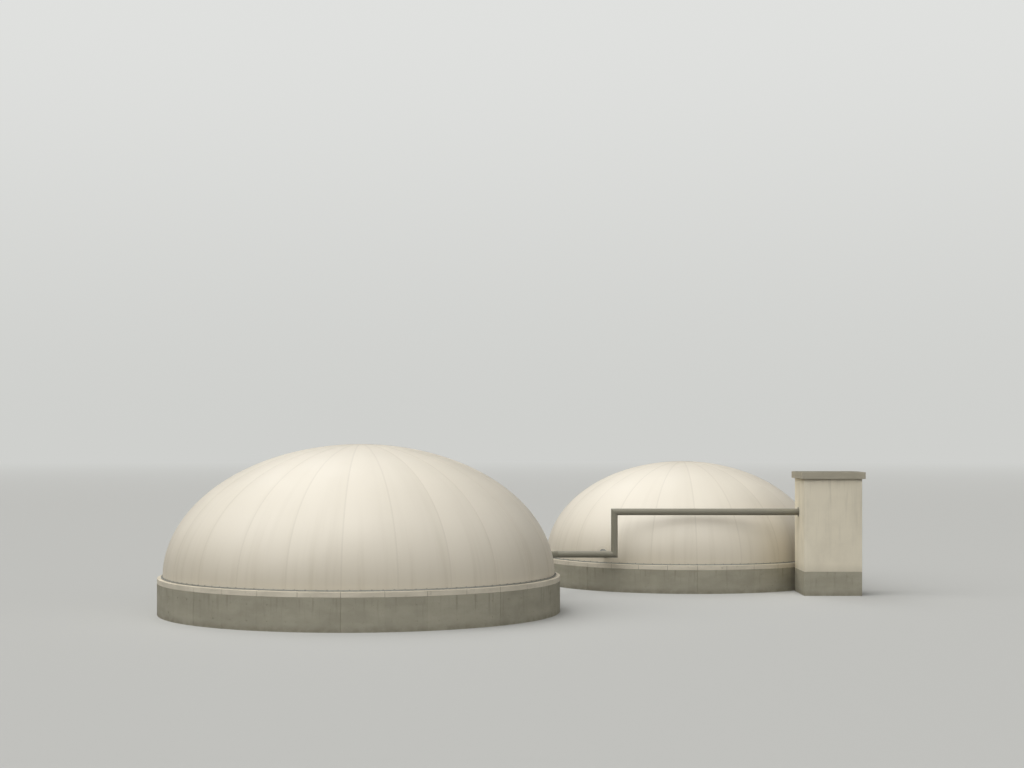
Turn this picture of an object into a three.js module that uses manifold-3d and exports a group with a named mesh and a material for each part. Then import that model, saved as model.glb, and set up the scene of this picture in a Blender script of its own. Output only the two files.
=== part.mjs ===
import * as THREE from "three";
import { mergeVertices } from "three/addons/utils/BufferGeometryUtils.js";
import Module from "manifold-3d";

// A farm biogas digester: a main tank and a smaller second tank, each a low round concrete wall under a
// half-ellipsoid gas dome, and one gas pipe that runs from the main dome past the second one to a service
// cabin. Millimetres, +Z up. The origin is on the main tank's axis at ground level, and the front is
// towards -Y.

const wasm = await Module();
wasm.setup();

// Driving dimensions of the two tanks
const MAIN = { name: "main", x: 0, y: 0, radius: 8000, wallHeight: 1240, domeHeight: 5250 };
const SECOND = { name: "second", x: 14350, y: 14350, radius: 6800, wallHeight: 1060, domeHeight: 4600 };

// What both tanks share
const TANK_SIDES = 64;
const WALL_PANELS = 8;
const WALL_THICKNESS = 300;
const FLOOR_THICKNESS = 200;
const COPING_HEIGHT = 200;
const COPING_WIDTH = 400;
const LEDGE_WIDTH = 220;
const RAIL_WIDTH = 70;
const RAIL_HEIGHT = 50;
const DOME_SHELL = 40;
const DOME_STEPS = 12;

// The gas pipe: its two heights, the line it keeps to in front of the second dome, and the riser between
// its two runs
const PIPE_RADIUS = 150;
const PIPE_WALL = 8;
const PIPE_SIDES = 24;
const PIPE_LINE_Y = 8100;
const LOW_Z = 1735;
const HIGH_Z = 3640;
const RISER_X = 10675;
const BRANCH_RADIUS = 110;
const BRANCH_X = 10250;
const PIPE_REACH_INSIDE = 250;

// Rings where a pipe goes through a dome or a wall
const COLLAR_WIDTH = 50;
const COLLAR_LENGTH = 110;
const FLANGE_WIDTH = 60;
const FLANGE_THICKNESS = 25;

// The service cabin, which stands on a solid base as high as the second tank's wall
const CABIN = { left: 18950, right: 21500, front: 6600, back: 9100, base: SECOND.wallHeight, eaves: 5150 };
const CABIN_WALL = 200;
const ROOF_THICKNESS = 310;
const ROOF_OVERHANG = 130;

// Clearance between two pieces that touch along a turned or a round face
const GAP = 0.3;

const COPING_TOP = (tank) => tank.wallHeight + COPING_HEIGHT;
const DOME_RADIUS = (tank) => tank.radius - LEDGE_WIDTH;

const finish = (color, roughness, metalness = 0) =>
  new THREE.MeshStandardMaterial({ color, roughness, metalness });
const MATERIALS = {
  membrane: finish("#e6dfcc", 0.5),
  wallConcrete: finish("#807d6e", 0.9),
  copingConcrete: finish("#aba595", 0.85),
  floorConcrete: finish("#8c897c", 0.95),
  galvanisedSteel: finish("#a3a49f", 0.45, 0.9),
  paintedSteel: finish("#706d60", 0.5, 0.3),
  cabinRender: finish("#bab3a1", 0.95),
  roofConcrete: finish("#8f8a7a", 0.9),
};

// Solids for joining and cutting

function solidOf(geometry) {
  const bare = geometry.clone();
  bare.deleteAttribute("normal");
  bare.deleteAttribute("uv");
  const merged = mergeVertices(bare, 1e-3);
  const mesh = new wasm.Mesh({
    numProp: 3,
    vertProperties: merged.attributes.position.array,
    triVerts: new Uint32Array(merged.index.array),
  });
  return new wasm.Manifold(mesh);
}

function geometryOf(solid) {
  const mesh = solid.getMesh();
  const geometry = new THREE.BufferGeometry();
  geometry.setAttribute("position", new THREE.BufferAttribute(new Float32Array(mesh.vertProperties), 3));
  geometry.setIndex(new THREE.BufferAttribute(new Uint32Array(mesh.triVerts), 1));
  geometry.computeVertexNormals();
  return geometry;
}

const cut = (geometry, ...tools) =>
  geometryOf(tools.reduce((left, tool) => left.subtract(solidOf(tool)), solidOf(geometry)));

// Basic shapes

// An outline of [radius, z] points turned about the Z axis.
function turned(outline, sides) {
  const points = outline.map(([radius, z]) => new THREE.Vector2(radius, z));
  return new THREE.LatheGeometry(points, sides).rotateX(Math.PI / 2);
}

function ring(inner, outer, bottom, top, sides) {
  const outline = [
    [inner, bottom],
    [outer, bottom],
    [outer, top],
    [inner, top],
    [inner, bottom],
  ];
  return turned(outline, sides);
}

// Points of a quarter ellipse, from its foot on the rim to its top on the axis.
function quarterEllipse(radius, height, foot) {
  return Array.from({ length: DOME_STEPS + 1 }, (_, i) => {
    const angle = (i / DOME_STEPS) * (Math.PI / 2);
    const onAxis = i === DOME_STEPS;
    return [onAxis ? 0 : radius * Math.cos(angle), foot + height * Math.sin(angle)];
  });
}

function boxBetween([x0, y0, z0], [x1, y1, z1]) {
  const box = new THREE.BoxGeometry(x1 - x0, y1 - y0, z1 - z0);
  return box.translate((x0 + x1) / 2, (y0 + y1) / 2, (z0 + z1) / 2);
}

// Turns a shape made along +Z to run along an axis, with its foot at a point.
function aimed(geometry, foot, axis) {
  const turn = new THREE.Quaternion().setFromUnitVectors(new THREE.Vector3(0, 0, 1), axis);
  return geometry.applyQuaternion(turn).translate(foot.x, foot.y, foot.z);
}

function rod(foot, axis, radius, length) {
  const outline = [
    [0, 0],
    [radius, 0],
    [radius, length],
    [0, length],
  ];
  return aimed(turned(outline, PIPE_SIDES), foot, axis);
}

// A straight hollow pipe between two corners. Each end lies in the plane through its corner with the normal
// given, which is how two pipes meet in a mitre. Without a normal the end is square.
function straightPipe(from, to, radius, fromNormal, toNormal) {
  const axis = to.clone().sub(from);
  const length = axis.length();
  axis.normalize();
  const pipe = aimed(ring(radius - PIPE_WALL, radius, 0, length, PIPE_SIDES), from, axis);
  const position = pipe.attributes.position;
  const point = new THREE.Vector3();
  for (let i = 0; i < position.count; i++) {
    point.fromBufferAttribute(position, i);
    const atStart = point.clone().sub(from).dot(axis) < length / 2;
    const corner = atStart ? from : to;
    const normal = (atStart ? fromNormal : toNormal) ?? axis;
    const slide = -point.clone().sub(corner).dot(normal) / axis.dot(normal);
    const clearance = atStart ? GAP / 2 : -GAP / 2;
    point.addScaledVector(axis, slide + clearance);
    position.setXYZ(i, point.x, point.y, point.z);
  }
  return pipe;
}

const mitreNormal = (incoming, outgoing) => incoming.clone().add(outgoing).normalize();

function named(name, geometry, material) {
  const mesh = new THREE.Mesh(geometry, material);
  mesh.name = name;
  return mesh;
}

// Pieces of a tank, in the tank's own frame with its axis on Z

// One of the wall's equal panels: an arc of the ring, a hair short of its neighbours at both ends.
function wallPanel(tank, index) {
  const inner = tank.radius - WALL_THICKNESS;
  const sweep = (2 * Math.PI) / WALL_PANELS;
  const trim = GAP / 2 / inner;
  const start = index * sweep + trim;
  const end = (index + 1) * sweep - trim;
  const plan = new THREE.Shape();
  plan.absarc(0, 0, tank.radius, start, end, false);
  plan.absarc(0, 0, inner, end, start, true);
  // An arc gets two straight sides for each curve segment.
  const curveSegments = TANK_SIDES / WALL_PANELS / 2;
  return new THREE.ExtrudeGeometry(plan, { depth: tank.wallHeight, bevelEnabled: false, curveSegments });
}

function floorSlab(tank) {
  const radius = tank.radius - WALL_THICKNESS - GAP;
  const outline = [
    [0, 0],
    [radius, 0],
    [radius, FLOOR_THICKNESS],
    [0, FLOOR_THICKNESS],
  ];
  return turned(outline, TANK_SIDES);
}

const coping = (tank) =>
  ring(tank.radius - COPING_WIDTH, tank.radius, tank.wallHeight, COPING_TOP(tank), TANK_SIDES);

function clampRail(tank) {
  const inner = DOME_RADIUS(tank) + GAP;
  return ring(inner, inner + RAIL_WIDTH, COPING_TOP(tank), COPING_TOP(tank) + RAIL_HEIGHT, TANK_SIDES);
}

function domeShell(tank) {
  const foot = COPING_TOP(tank);
  const outer = quarterEllipse(DOME_RADIUS(tank), tank.domeHeight, foot);
  const inner = quarterEllipse(DOME_RADIUS(tank) - DOME_SHELL, tank.domeHeight - DOME_SHELL, foot);
  return turned([...inner.reverse(), ...outer], TANK_SIDES);
}

// The space under the dome's outer face, grown by the clearance. It shapes what lies against that face.
function domeBody(tank) {
  const foot = COPING_TOP(tank);
  const outline = quarterEllipse(DOME_RADIUS(tank) + GAP, tank.domeHeight + GAP, foot);
  return turned([[0, foot], ...outline], TANK_SIDES);
}

const domeRadiusAt = (tank, z) =>
  DOME_RADIUS(tank) * Math.sqrt(1 - ((z - COPING_TOP(tank)) / tank.domeHeight) ** 2);

// A collar round a pipe, shaped to the dome where the pipe goes in. The pipe comes out of the dome at the
// given point and along the given axis.
function domeCollar(tank, exit, axis, pipeRadius) {
  const outer = pipeRadius + COLLAR_WIDTH;
  const sleeve = ring(pipeRadius + GAP, outer, -2 * COLLAR_WIDTH, COLLAR_LENGTH, PIPE_SIDES);
  return cut(aimed(sleeve, exit, axis), domeBody(tank));
}

function tankGroup(tank, exit, axis, pipeRadius) {
  const group = new THREE.Group();
  group.position.set(tank.x, tank.y, 0);
  for (let i = 0; i < WALL_PANELS; i++) {
    group.add(named(`${tank.name}_wall_panel_${i + 1}`, wallPanel(tank, i), MATERIALS.wallConcrete));
  }
  const local = exit.clone().sub(group.position);
  const inside = local.clone().addScaledVector(axis, -2 * PIPE_REACH_INSIDE);
  const hole = rod(inside, axis, pipeRadius + GAP, 4 * PIPE_REACH_INSIDE);
  group.add(
    named(`${tank.name}_floor_slab`, floorSlab(tank), MATERIALS.floorConcrete),
    named(`${tank.name}_coping`, coping(tank), MATERIALS.copingConcrete),
    named(`${tank.name}_clamp_rail`, clampRail(tank), MATERIALS.galvanisedSteel),
    named(`${tank.name}_dome`, cut(domeShell(tank), hole), MATERIALS.membrane),
    named(`${tank.name}_dome_collar`, domeCollar(tank, local, axis, pipeRadius), MATERIALS.galvanisedSteel),
  );
  return group;
}

// The gas pipe's route. From the main dome it comes out straight from the tank's axis, at 45 degrees between
// the two tanks, then turns to run along X, up the riser, and along X again into the cabin.

const ALONG_X = new THREE.Vector3(1, 0, 0);
const ALONG_Y = new THREE.Vector3(0, 1, 0);
const UP = new THREE.Vector3(0, 0, 1);
const OUTWARD = new THREE.Vector3(1, 1, 0).normalize();
const TOWARDS_FRONT = ALONG_Y.clone().negate();

const corner = {
  bend: new THREE.Vector3(PIPE_LINE_Y, PIPE_LINE_Y, LOW_Z),
  riserFoot: new THREE.Vector3(RISER_X, PIPE_LINE_Y, LOW_Z),
  riserHead: new THREE.Vector3(RISER_X, PIPE_LINE_Y, HIGH_Z),
  cabinEnd: new THREE.Vector3(CABIN.left + CABIN_WALL + PIPE_REACH_INSIDE, PIPE_LINE_Y, HIGH_Z),
};

const mainExit = OUTWARD.clone().multiplyScalar(domeRadiusAt(MAIN, LOW_Z)).setZ(LOW_Z);
const branchHalfChord = Math.sqrt(domeRadiusAt(SECOND, LOW_Z) ** 2 - (BRANCH_X - SECOND.x) ** 2);
const branchExit = new THREE.Vector3(BRANCH_X, SECOND.y - branchHalfChord, LOW_Z);

function pipework() {
  const group = new THREE.Group();
  const atBend = mitreNormal(OUTWARD, ALONG_X);
  const atRiser = mitreNormal(ALONG_X, UP);
  const legStart = mainExit.clone().addScaledVector(OUTWARD, -PIPE_REACH_INSIDE);
  const leg = straightPipe(legStart, corner.bend, PIPE_RADIUS, null, atBend);

  // The branch from the second dome ends in a saddle on the lower run, over a port in the run's wall.
  const branchStart = branchExit.clone().addScaledVector(ALONG_Y, PIPE_REACH_INSIDE);
  const onRun = new THREE.Vector3(BRANCH_X, PIPE_LINE_Y, LOW_Z);
  const runCore = rod(corner.bend, ALONG_X, PIPE_RADIUS + GAP, RISER_X - PIPE_LINE_Y);
  const branch = cut(straightPipe(branchStart, onRun, BRANCH_RADIUS), runCore);
  const port = rod(onRun, ALONG_Y, BRANCH_RADIUS - PIPE_WALL, 2 * PIPE_RADIUS);
  const lowerRun = cut(straightPipe(corner.bend, corner.riserFoot, PIPE_RADIUS, atBend, atRiser), port);

  const riser = straightPipe(corner.riserFoot, corner.riserHead, PIPE_RADIUS, atRiser, atRiser);
  const upperRun = straightPipe(corner.riserHead, corner.cabinEnd, PIPE_RADIUS, atRiser);
  const flangeFoot = new THREE.Vector3(CABIN.left - FLANGE_THICKNESS, PIPE_LINE_Y, HIGH_Z);
  const flange = aimed(
    ring(PIPE_RADIUS + GAP, PIPE_RADIUS + FLANGE_WIDTH, 0, FLANGE_THICKNESS, PIPE_SIDES),
    flangeFoot,
    ALONG_X,
  );
  group.add(
    named("pipe_main_dome_leg", leg, MATERIALS.paintedSteel),
    named("pipe_lower_run", lowerRun, MATERIALS.paintedSteel),
    named("pipe_second_dome_branch", branch, MATERIALS.paintedSteel),
    named("pipe_riser", riser, MATERIALS.paintedSteel),
    named("pipe_upper_run", upperRun, MATERIALS.paintedSteel),
    named("pipe_cabin_flange", flange, MATERIALS.paintedSteel),
  );
  return group;
}

// The cabin: a solid base whose top is the floor, four rendered walls on it and a flat roof slab that
// overhangs all round.
function cabin() {
  const group = new THREE.Group();
  const { left, right, front, back, base, eaves } = CABIN;
  const insideLeft = left + CABIN_WALL;
  const insideRight = right - CABIN_WALL;
  const insideFront = front + CABIN_WALL;
  const insideBack = back - CABIN_WALL;
  const holeStart = new THREE.Vector3(left - CABIN_WALL, PIPE_LINE_Y, HIGH_Z);
  const pipeHole = rod(holeStart, ALONG_X, PIPE_RADIUS + GAP, 3 * CABIN_WALL);
  const walls = {
    cabin_front_wall: boxBetween([left, front, base], [right, insideFront, eaves]),
    cabin_back_wall: boxBetween([left, insideBack, base], [right, back, eaves]),
    cabin_left_wall: cut(boxBetween([left, insideFront, base], [insideLeft, insideBack, eaves]), pipeHole),
    cabin_right_wall: boxBetween([insideRight, insideFront, base], [right, insideBack, eaves]),
  };
  for (const [name, geometry] of Object.entries(walls)) {
    group.add(named(name, geometry, MATERIALS.cabinRender));
  }
  const roof = boxBetween(
    [left - ROOF_OVERHANG, front - ROOF_OVERHANG, eaves],
    [right + ROOF_OVERHANG, back + ROOF_OVERHANG, eaves + ROOF_THICKNESS],
  );
  group.add(
    named("cabin_base", boxBetween([left, front, 0], [right, back, base]), MATERIALS.wallConcrete),
    named("cabin_roof_slab", roof, MATERIALS.roofConcrete),
  );
  return group;
}

const digester = new THREE.Group();
digester.add(
  tankGroup(MAIN, mainExit, OUTWARD, PIPE_RADIUS),
  tankGroup(SECOND, branchExit, TOWARDS_FRONT, BRANCH_RADIUS),
  pipework(),
  cabin(),
);

export default digester;
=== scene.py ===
"""The looks of a farm biogas digester, made over its packed construction model.

Two round concrete tanks carry welded membrane gas domes. A steel gas pipe leaves the main dome, takes in a
branch from the second one, steps up and ends in a rendered service cabin. Everything is in metres and in the
construction model's frame: the origin is on the ground under the main dome's top, +Z is up, and the front
looks towards -Y.
"""

import logging
import math
from abc import ABC, abstractmethod
from dataclasses import dataclass
from enum import Enum
from typing import Any, Iterable, Mapping, Sequence

import bmesh
import bpy
from bmesh.types import BMEdge, BMesh, BMFace, BMVert
from mathutils import Matrix, Vector


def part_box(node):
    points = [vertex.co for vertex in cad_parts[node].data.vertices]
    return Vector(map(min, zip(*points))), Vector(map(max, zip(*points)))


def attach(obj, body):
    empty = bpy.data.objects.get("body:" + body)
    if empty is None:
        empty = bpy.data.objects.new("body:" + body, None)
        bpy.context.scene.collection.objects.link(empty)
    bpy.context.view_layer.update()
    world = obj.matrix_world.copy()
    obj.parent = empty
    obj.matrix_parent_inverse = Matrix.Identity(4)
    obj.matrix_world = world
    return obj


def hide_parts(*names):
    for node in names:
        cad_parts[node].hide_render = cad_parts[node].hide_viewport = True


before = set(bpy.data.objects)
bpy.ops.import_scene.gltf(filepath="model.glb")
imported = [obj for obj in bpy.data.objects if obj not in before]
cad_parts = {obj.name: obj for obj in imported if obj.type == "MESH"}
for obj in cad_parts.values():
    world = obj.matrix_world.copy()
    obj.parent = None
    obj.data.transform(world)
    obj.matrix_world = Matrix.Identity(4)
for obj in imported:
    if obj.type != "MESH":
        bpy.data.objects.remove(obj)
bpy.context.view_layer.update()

log = logging.getLogger("digester")

BODY = "root"
ALONG_X = Vector((1, 0, 0))
ALONG_Y = Vector((0, 1, 0))
UP = Vector((0, 0, 1))
ORIGIN = Vector((0, 0, 0))

Colour = tuple[float, float, float, float]
Size = tuple[float, float, float]
Settings = Mapping[str | int, Any]
Material = bpy.types.Material
Tree = bpy.types.NodeTree
Node = bpy.types.Node
Socket = bpy.types.NodeSocket
# What feeds an input: an output, or a node, which stands for the first of its outputs in use.
Source = Node | Socket
Piece = bpy.types.Object
Part = BMVert | BMEdge | BMFace


# Tools for finishes


def linear(hex_colour: str) -> Colour:
    """Turns an sRGB hex colour into the linear colour that shaders take.

    Args:
        hex_colour: The colour as "#rrggbb".

    Returns:
        Red, green and blue in linear light, and an alpha of 1.
    """
    channels = [int(hex_colour[i : i + 2], 16) / 255 for i in (1, 3, 5)]
    return (*(c / 12.92 if c <= 0.04045 else ((c + 0.055) / 1.055) ** 2.4 for c in channels), 1.0)


def feed(tree: Tree, node: Node, inputs: Settings) -> None:
    """Gives inputs of a node their values or links.

    Args:
        tree: The node tree.
        node: The node.
        inputs: A value or a source for each input, by its number or by its name among those in use.
    """
    for key, given in inputs.items():
        named = (entry for entry in node.inputs if entry.enabled and entry.name == key)
        entry = next(named) if isinstance(key, str) else node.inputs[key]
        if isinstance(given, Node):
            given = next(output for output in given.outputs if output.enabled)
        if isinstance(given, Socket):
            tree.links.new(given, entry)
        else:
            entry.default_value = given


def add_node(tree: Tree, kind: str, settings: Settings | None = None) -> Node:
    """Adds a node with its settings and links.

    Args:
        tree: The node tree.
        kind: The node's type, such as "ShaderNodeTexNoise".
        settings: The node's properties by name, and what its inputs get.

    Returns:
        The new node.
    """
    node = tree.nodes.new(kind)
    inputs = {}
    for key, value in (settings or {}).items():
        if isinstance(key, str) and hasattr(node, key):
            setattr(node, key, value)
        else:
            inputs[key] = value
    feed(tree, node, inputs)
    return node


def eased(measure: Source, start: float, end: float, at_start: float, at_end: float) -> Settings:
    """Gives the settings of a Map Range node that eases from one value to another.

    Args:
        measure: What the value goes by.
        start: Where the change starts.
        end: Where it ends.
        at_start: The value up to the start.
        at_end: The value from the end on.

    Returns:
        The node's settings.
    """
    limits = {"From Min": start, "From Max": end, "To Min": at_start, "To Max": at_end}
    return {"interpolation_type": "SMOOTHSTEP", "Value": measure, **limits}


def place_about(tree: Tree, centre: Vector = ORIGIN) -> Node:
    """Gives a surface point's place as measured from a centre.

    Args:
        tree: The material's node tree.
        centre: The centre, in the model's frame.

    Returns:
        The place, in metres.
    """
    here = add_node(tree, "ShaderNodeTexCoord").outputs["Object"]
    return add_node(tree, "ShaderNodeMapping", {"Location": -centre, "Vector": here})


def unrolled(tree: Tree, place: Source, radius: float) -> tuple[Node, Node]:
    """Unrolls a round wall or dome flat, cut open at its back.

    Args:
        tree: The material's node tree.
        place: The place as measured from the axis.
        radius: The radius at which lengths along the round are true.

    Returns:
        The place on the unrolled surface, and the turn from the front in radians.
    """
    parts = add_node(tree, "ShaderNodeSeparateXYZ", {"Vector": place})
    forward = add_node(tree, "ShaderNodeMath", {"operation": "MULTIPLY", 0: parts.outputs["Y"], 1: -1.0})
    turn = add_node(tree, "ShaderNodeMath", {"operation": "ARCTAN2", 0: parts.outputs["X"], 1: forward})
    along = add_node(tree, "ShaderNodeMath", {"operation": "MULTIPLY", 0: turn, 1: radius})
    return add_node(tree, "ShaderNodeCombineXYZ", {"X": along, "Y": parts.outputs["Z"]}), turn


def toned(tree: Tree, measure: Source, step: float, colour: str, spread: float) -> Node:
    """Gives each of a row of like stretches a tone of its own.

    Args:
        tree: The material's node tree.
        measure: The measure along the row.
        step: One stretch's length in that measure.
        colour: The colour as "#rrggbb".
        spread: How far the tones lie apart, as a share of the colour.

    Returns:
        The colour at the place.
    """
    share = add_node(tree, "ShaderNodeMath", {"operation": "DIVIDE", 0: measure, 1: step})
    number = add_node(tree, "ShaderNodeMath", {"operation": "FLOOR", 0: share})
    pick = add_node(tree, "ShaderNodeTexWhiteNoise", {"noise_dimensions": "1D", "W": number})
    limits = {"To Min": 1 - spread / 2, "To Max": 1 + spread / 2}
    tone = add_node(tree, "ShaderNodeMapRange", {"Value": pick, **limits})
    return add_node(tree, "ShaderNodeHueSaturation", {"Color": linear(colour), "Value": tone})


def layered(tree: Tree, ground: str | Source, *layers: tuple[str, Source]) -> Source:
    """Lays colours over a ground colour, one after the other.

    Args:
        tree: The material's node tree.
        ground: The ground's colour, as "#rrggbb" or as a source.
        layers: Each layer's colour as "#rrggbb", and how far it covers what is under it.

    Returns:
        The colour at the place.
    """
    colour = linear(ground) if isinstance(ground, str) else ground
    for above, cover in layers:
        mix = {"data_type": "RGBA", "Factor": cover, "A": colour, "B": linear(above)}
        colour = add_node(tree, "ShaderNodeMix", mix)
    return colour


@dataclass(frozen=True)
class Patches:
    """Soft random patches on a surface.

    Their size is their length along each axis. The least value lies between them and the most in their
    middle. A patch starts where the noise reaches low and is full where it reaches high, and the detail is
    how many finer octaves break its edge.
    """

    size: Size
    least: float
    most: float
    low: float = 0.35
    high: float = 0.65
    detail: float = 3.0

    def on(self, tree: Tree, place: Source) -> Node:
        """Draws the patches.

        Args:
            tree: The material's node tree.
            place: The place on the surface, in metres.

        Returns:
            The value at the place.
        """
        rates = tuple(1.0 / length for length in self.size)
        shrunk = add_node(tree, "ShaderNodeMapping", {"Scale": rates, "Vector": place})
        grain = {"Vector": shrunk, "Scale": 1.0, "Detail": self.detail, "Roughness": 0.55}
        noise = add_node(tree, "ShaderNodeTexNoise", grain)
        return add_node(tree, "ShaderNodeMapRange", eased(noise, self.low, self.high, self.least, self.most))


# Finishes


@dataclass(frozen=True)
class Finish(ABC):
    """A real material and the way its surface was made."""

    title: str

    def material(self) -> Material:
        """Gives the finish's material, made the first time that it's asked for.

        Returns:
            The material.
        """
        made = bpy.data.materials.get(self.title)
        if made is None:
            made = bpy.data.materials.new(self.title)
            made.use_nodes = True
            tree = made.node_tree
            feed(tree, tree.nodes["Principled BSDF"], self.surface(tree))
        return made

    @abstractmethod
    def surface(self, tree: Tree) -> Settings:
        """Draws the finish's patterns.

        Args:
            tree: The material's node tree.

        Returns:
            What the shader's inputs get: a pattern, or one value all over.
        """


class Wrap(Enum):
    """How a flat pattern lies on a piece."""

    ROUND = "round a tank's axis"
    STRAIGHT = "along a straight wall"


@dataclass(frozen=True)
class LacqueredMembrane(Finish):
    """PVC-coated polyester membrane, calendered and lacquered, cut into gores and welded.

    The lacquer gives one broad soft sheen. Each gore comes from another stretch of the roll, so its tone is a
    touch different. Rain carries dirt down the gores in runs. Towards the foot the cloth is darkened with
    painted shade, mixed with the grime that settles above the clamp rail.
    """

    centre: Vector
    radius: float
    height: float
    gores: int
    cloth: str = "#f1e9d8"
    tone_spread: float = 0.03
    # The next colour darkens the rain's runs, and near the foot it also stands in as painted shade.
    dust_and_shade: str = "#b3a78c"
    # How dark the foot is made, and what share of the height that darkening reaches: painted shade with some
    # grime.
    foot_shade_and_grime: float = 0.42
    foot_shade_reach: float = 0.5
    runs: Patches = Patches((0.45, 7.0, 1.0), 0.0, 0.13, low=0.45, high=0.75)
    runs_at_crown: float = 0.1
    dullness: Patches = Patches((1.6, 1.6, 1.6), 0.46, 0.55)
    # The base cloth's threads are about 1 mm apart. They are drawn 24 mm apart, as fine as a render can hold.
    thread_spacing: float = 0.024
    thread_relief: float = 0.0004

    def surface(self, tree: Tree) -> Settings:
        """Draws the gores' tones, the rain's dirt runs, the painted shade towards the foot, the sheen and the
        relief.

        Args:
            tree: The material's node tree.

        Returns:
            What the shader's inputs get.
        """
        place = place_about(tree, self.centre)
        height = add_node(tree, "ShaderNodeSeparateXYZ", {"Vector": place}).outputs["Z"]
        flat, turn = unrolled(tree, place, self.radius)
        cloth = toned(tree, turn, math.tau / self.gores, self.cloth, self.tone_spread)
        return {
            # The cloth darkens in the rain's runs and, towards the foot, with painted shade mixed with grime.
            "Base Color": layered(tree, cloth, (self.dust_and_shade, self.dust_runs_and_painted_shade(tree, flat, height))),
            "Roughness": self.dullness.on(tree, place),
            "IOR": 1.52,
            "Coat Weight": 0.12,
            "Coat Roughness": 0.4,
            "Normal": self.cloth_relief(tree, place, turn, height),
        }

    def dust_runs_and_painted_shade(self, tree: Tree, flat: Source, height: Source) -> Node:
        """Tells how far the cloth darkens: painted shade with grime towards the foot, and the rain's runs.

        Args:
            tree: The material's node tree.
            flat: The place on the unrolled dome.
            height: The height over the dome's foot.

        Returns:
            How far the darkening covers the cloth.
        """
        # Painted shade: from the foot up, the cloth is darkened for the shade of the dome's lower half, with
        # some grime.
        foot_shading = eased(height, 0.0, self.height * self.foot_shade_reach, self.foot_shade_and_grime, 0.0)
        shaded_foot = add_node(tree, "ShaderNodeMapRange", foot_shading)
        falling = eased(height, 0.0, self.height, 1.0, self.runs_at_crown)
        fallen = add_node(tree, "ShaderNodeMapRange", falling)
        thinned = {"operation": "MULTIPLY", 0: self.runs.on(tree, flat), 1: fallen}
        runs = add_node(tree, "ShaderNodeMath", thinned)
        return add_node(tree, "ShaderNodeMath", {"operation": "ADD", "use_clamp": True, 0: runs, 1: shaded_foot})

    def cloth_relief(self, tree: Tree, place: Source, turn: Source, height: Source) -> Node:
        """Lets the base cloth's threads show faintly through the coating, along and across each gore.

        Args:
            tree: The material's node tree.
            place: The place as measured from the dome's centre.
            turn: The turn from the front, in radians.
            height: The height over the dome's foot.

        Returns:
            The surface's direction.
        """
        level = add_node(tree, "ShaderNodeVectorMath", {"operation": "MULTIPLY", 0: place, 1: (1, 1, 0)})
        out = add_node(tree, "ShaderNodeVectorMath", {"operation": "LENGTH", 0: level})
        gore = {"operation": "FLOORED_MODULO", 0: turn, 1: math.tau / self.gores}
        within = add_node(tree, "ShaderNodeMath", gore)
        across = add_node(tree, "ShaderNodeMath", {"operation": "MULTIPLY", 0: within, 1: out})
        rounder = {"operation": "MULTIPLY", 0: height, 1: self.radius / self.height}
        raised = add_node(tree, "ShaderNodeMath", rounder)
        angle = add_node(tree, "ShaderNodeMath", {"operation": "ARCTAN2", 0: raised, 1: out})
        arc = {"operation": "MULTIPLY", 0: angle, 1: (self.radius + self.height) / 2}
        along = add_node(tree, "ShaderNodeMath", arc)
        laid_flat = add_node(tree, "ShaderNodeCombineXYZ", {"X": across, "Y": along})
        # A Wave node's bands repeat every pi/10 at a scale of 1.
        rate = math.pi / 10 / self.thread_spacing
        threads = {"Vector": laid_flat, "Scale": rate, "Distortion": 0.4, "Detail": 1.0}
        warp = add_node(tree, "ShaderNodeTexWave", {"bands_direction": "X", **threads}).outputs["Fac"]
        weft = add_node(tree, "ShaderNodeTexWave", {"bands_direction": "Y", **threads}).outputs["Fac"]
        crossed = add_node(tree, "ShaderNodeMath", {"operation": "MULTIPLY", 0: warp, 1: weft})
        relief = {"Strength": 0.5, "Distance": self.thread_relief, "Height": crossed}
        return add_node(tree, "ShaderNodeBump", relief)


@dataclass(frozen=True)
class WeldedOverlap(LacqueredMembrane):
    """The same membrane where two layers lie on each other and a hot wedge has welded them.

    The pressed strip is a little glossier and greyer than the open cloth.
    """

    cloth: str = "#e9e1d0"
    tone_spread: float = 0.01
    dullness: Patches = Patches((1.6, 1.6, 1.6), 0.38, 0.47)


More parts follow.
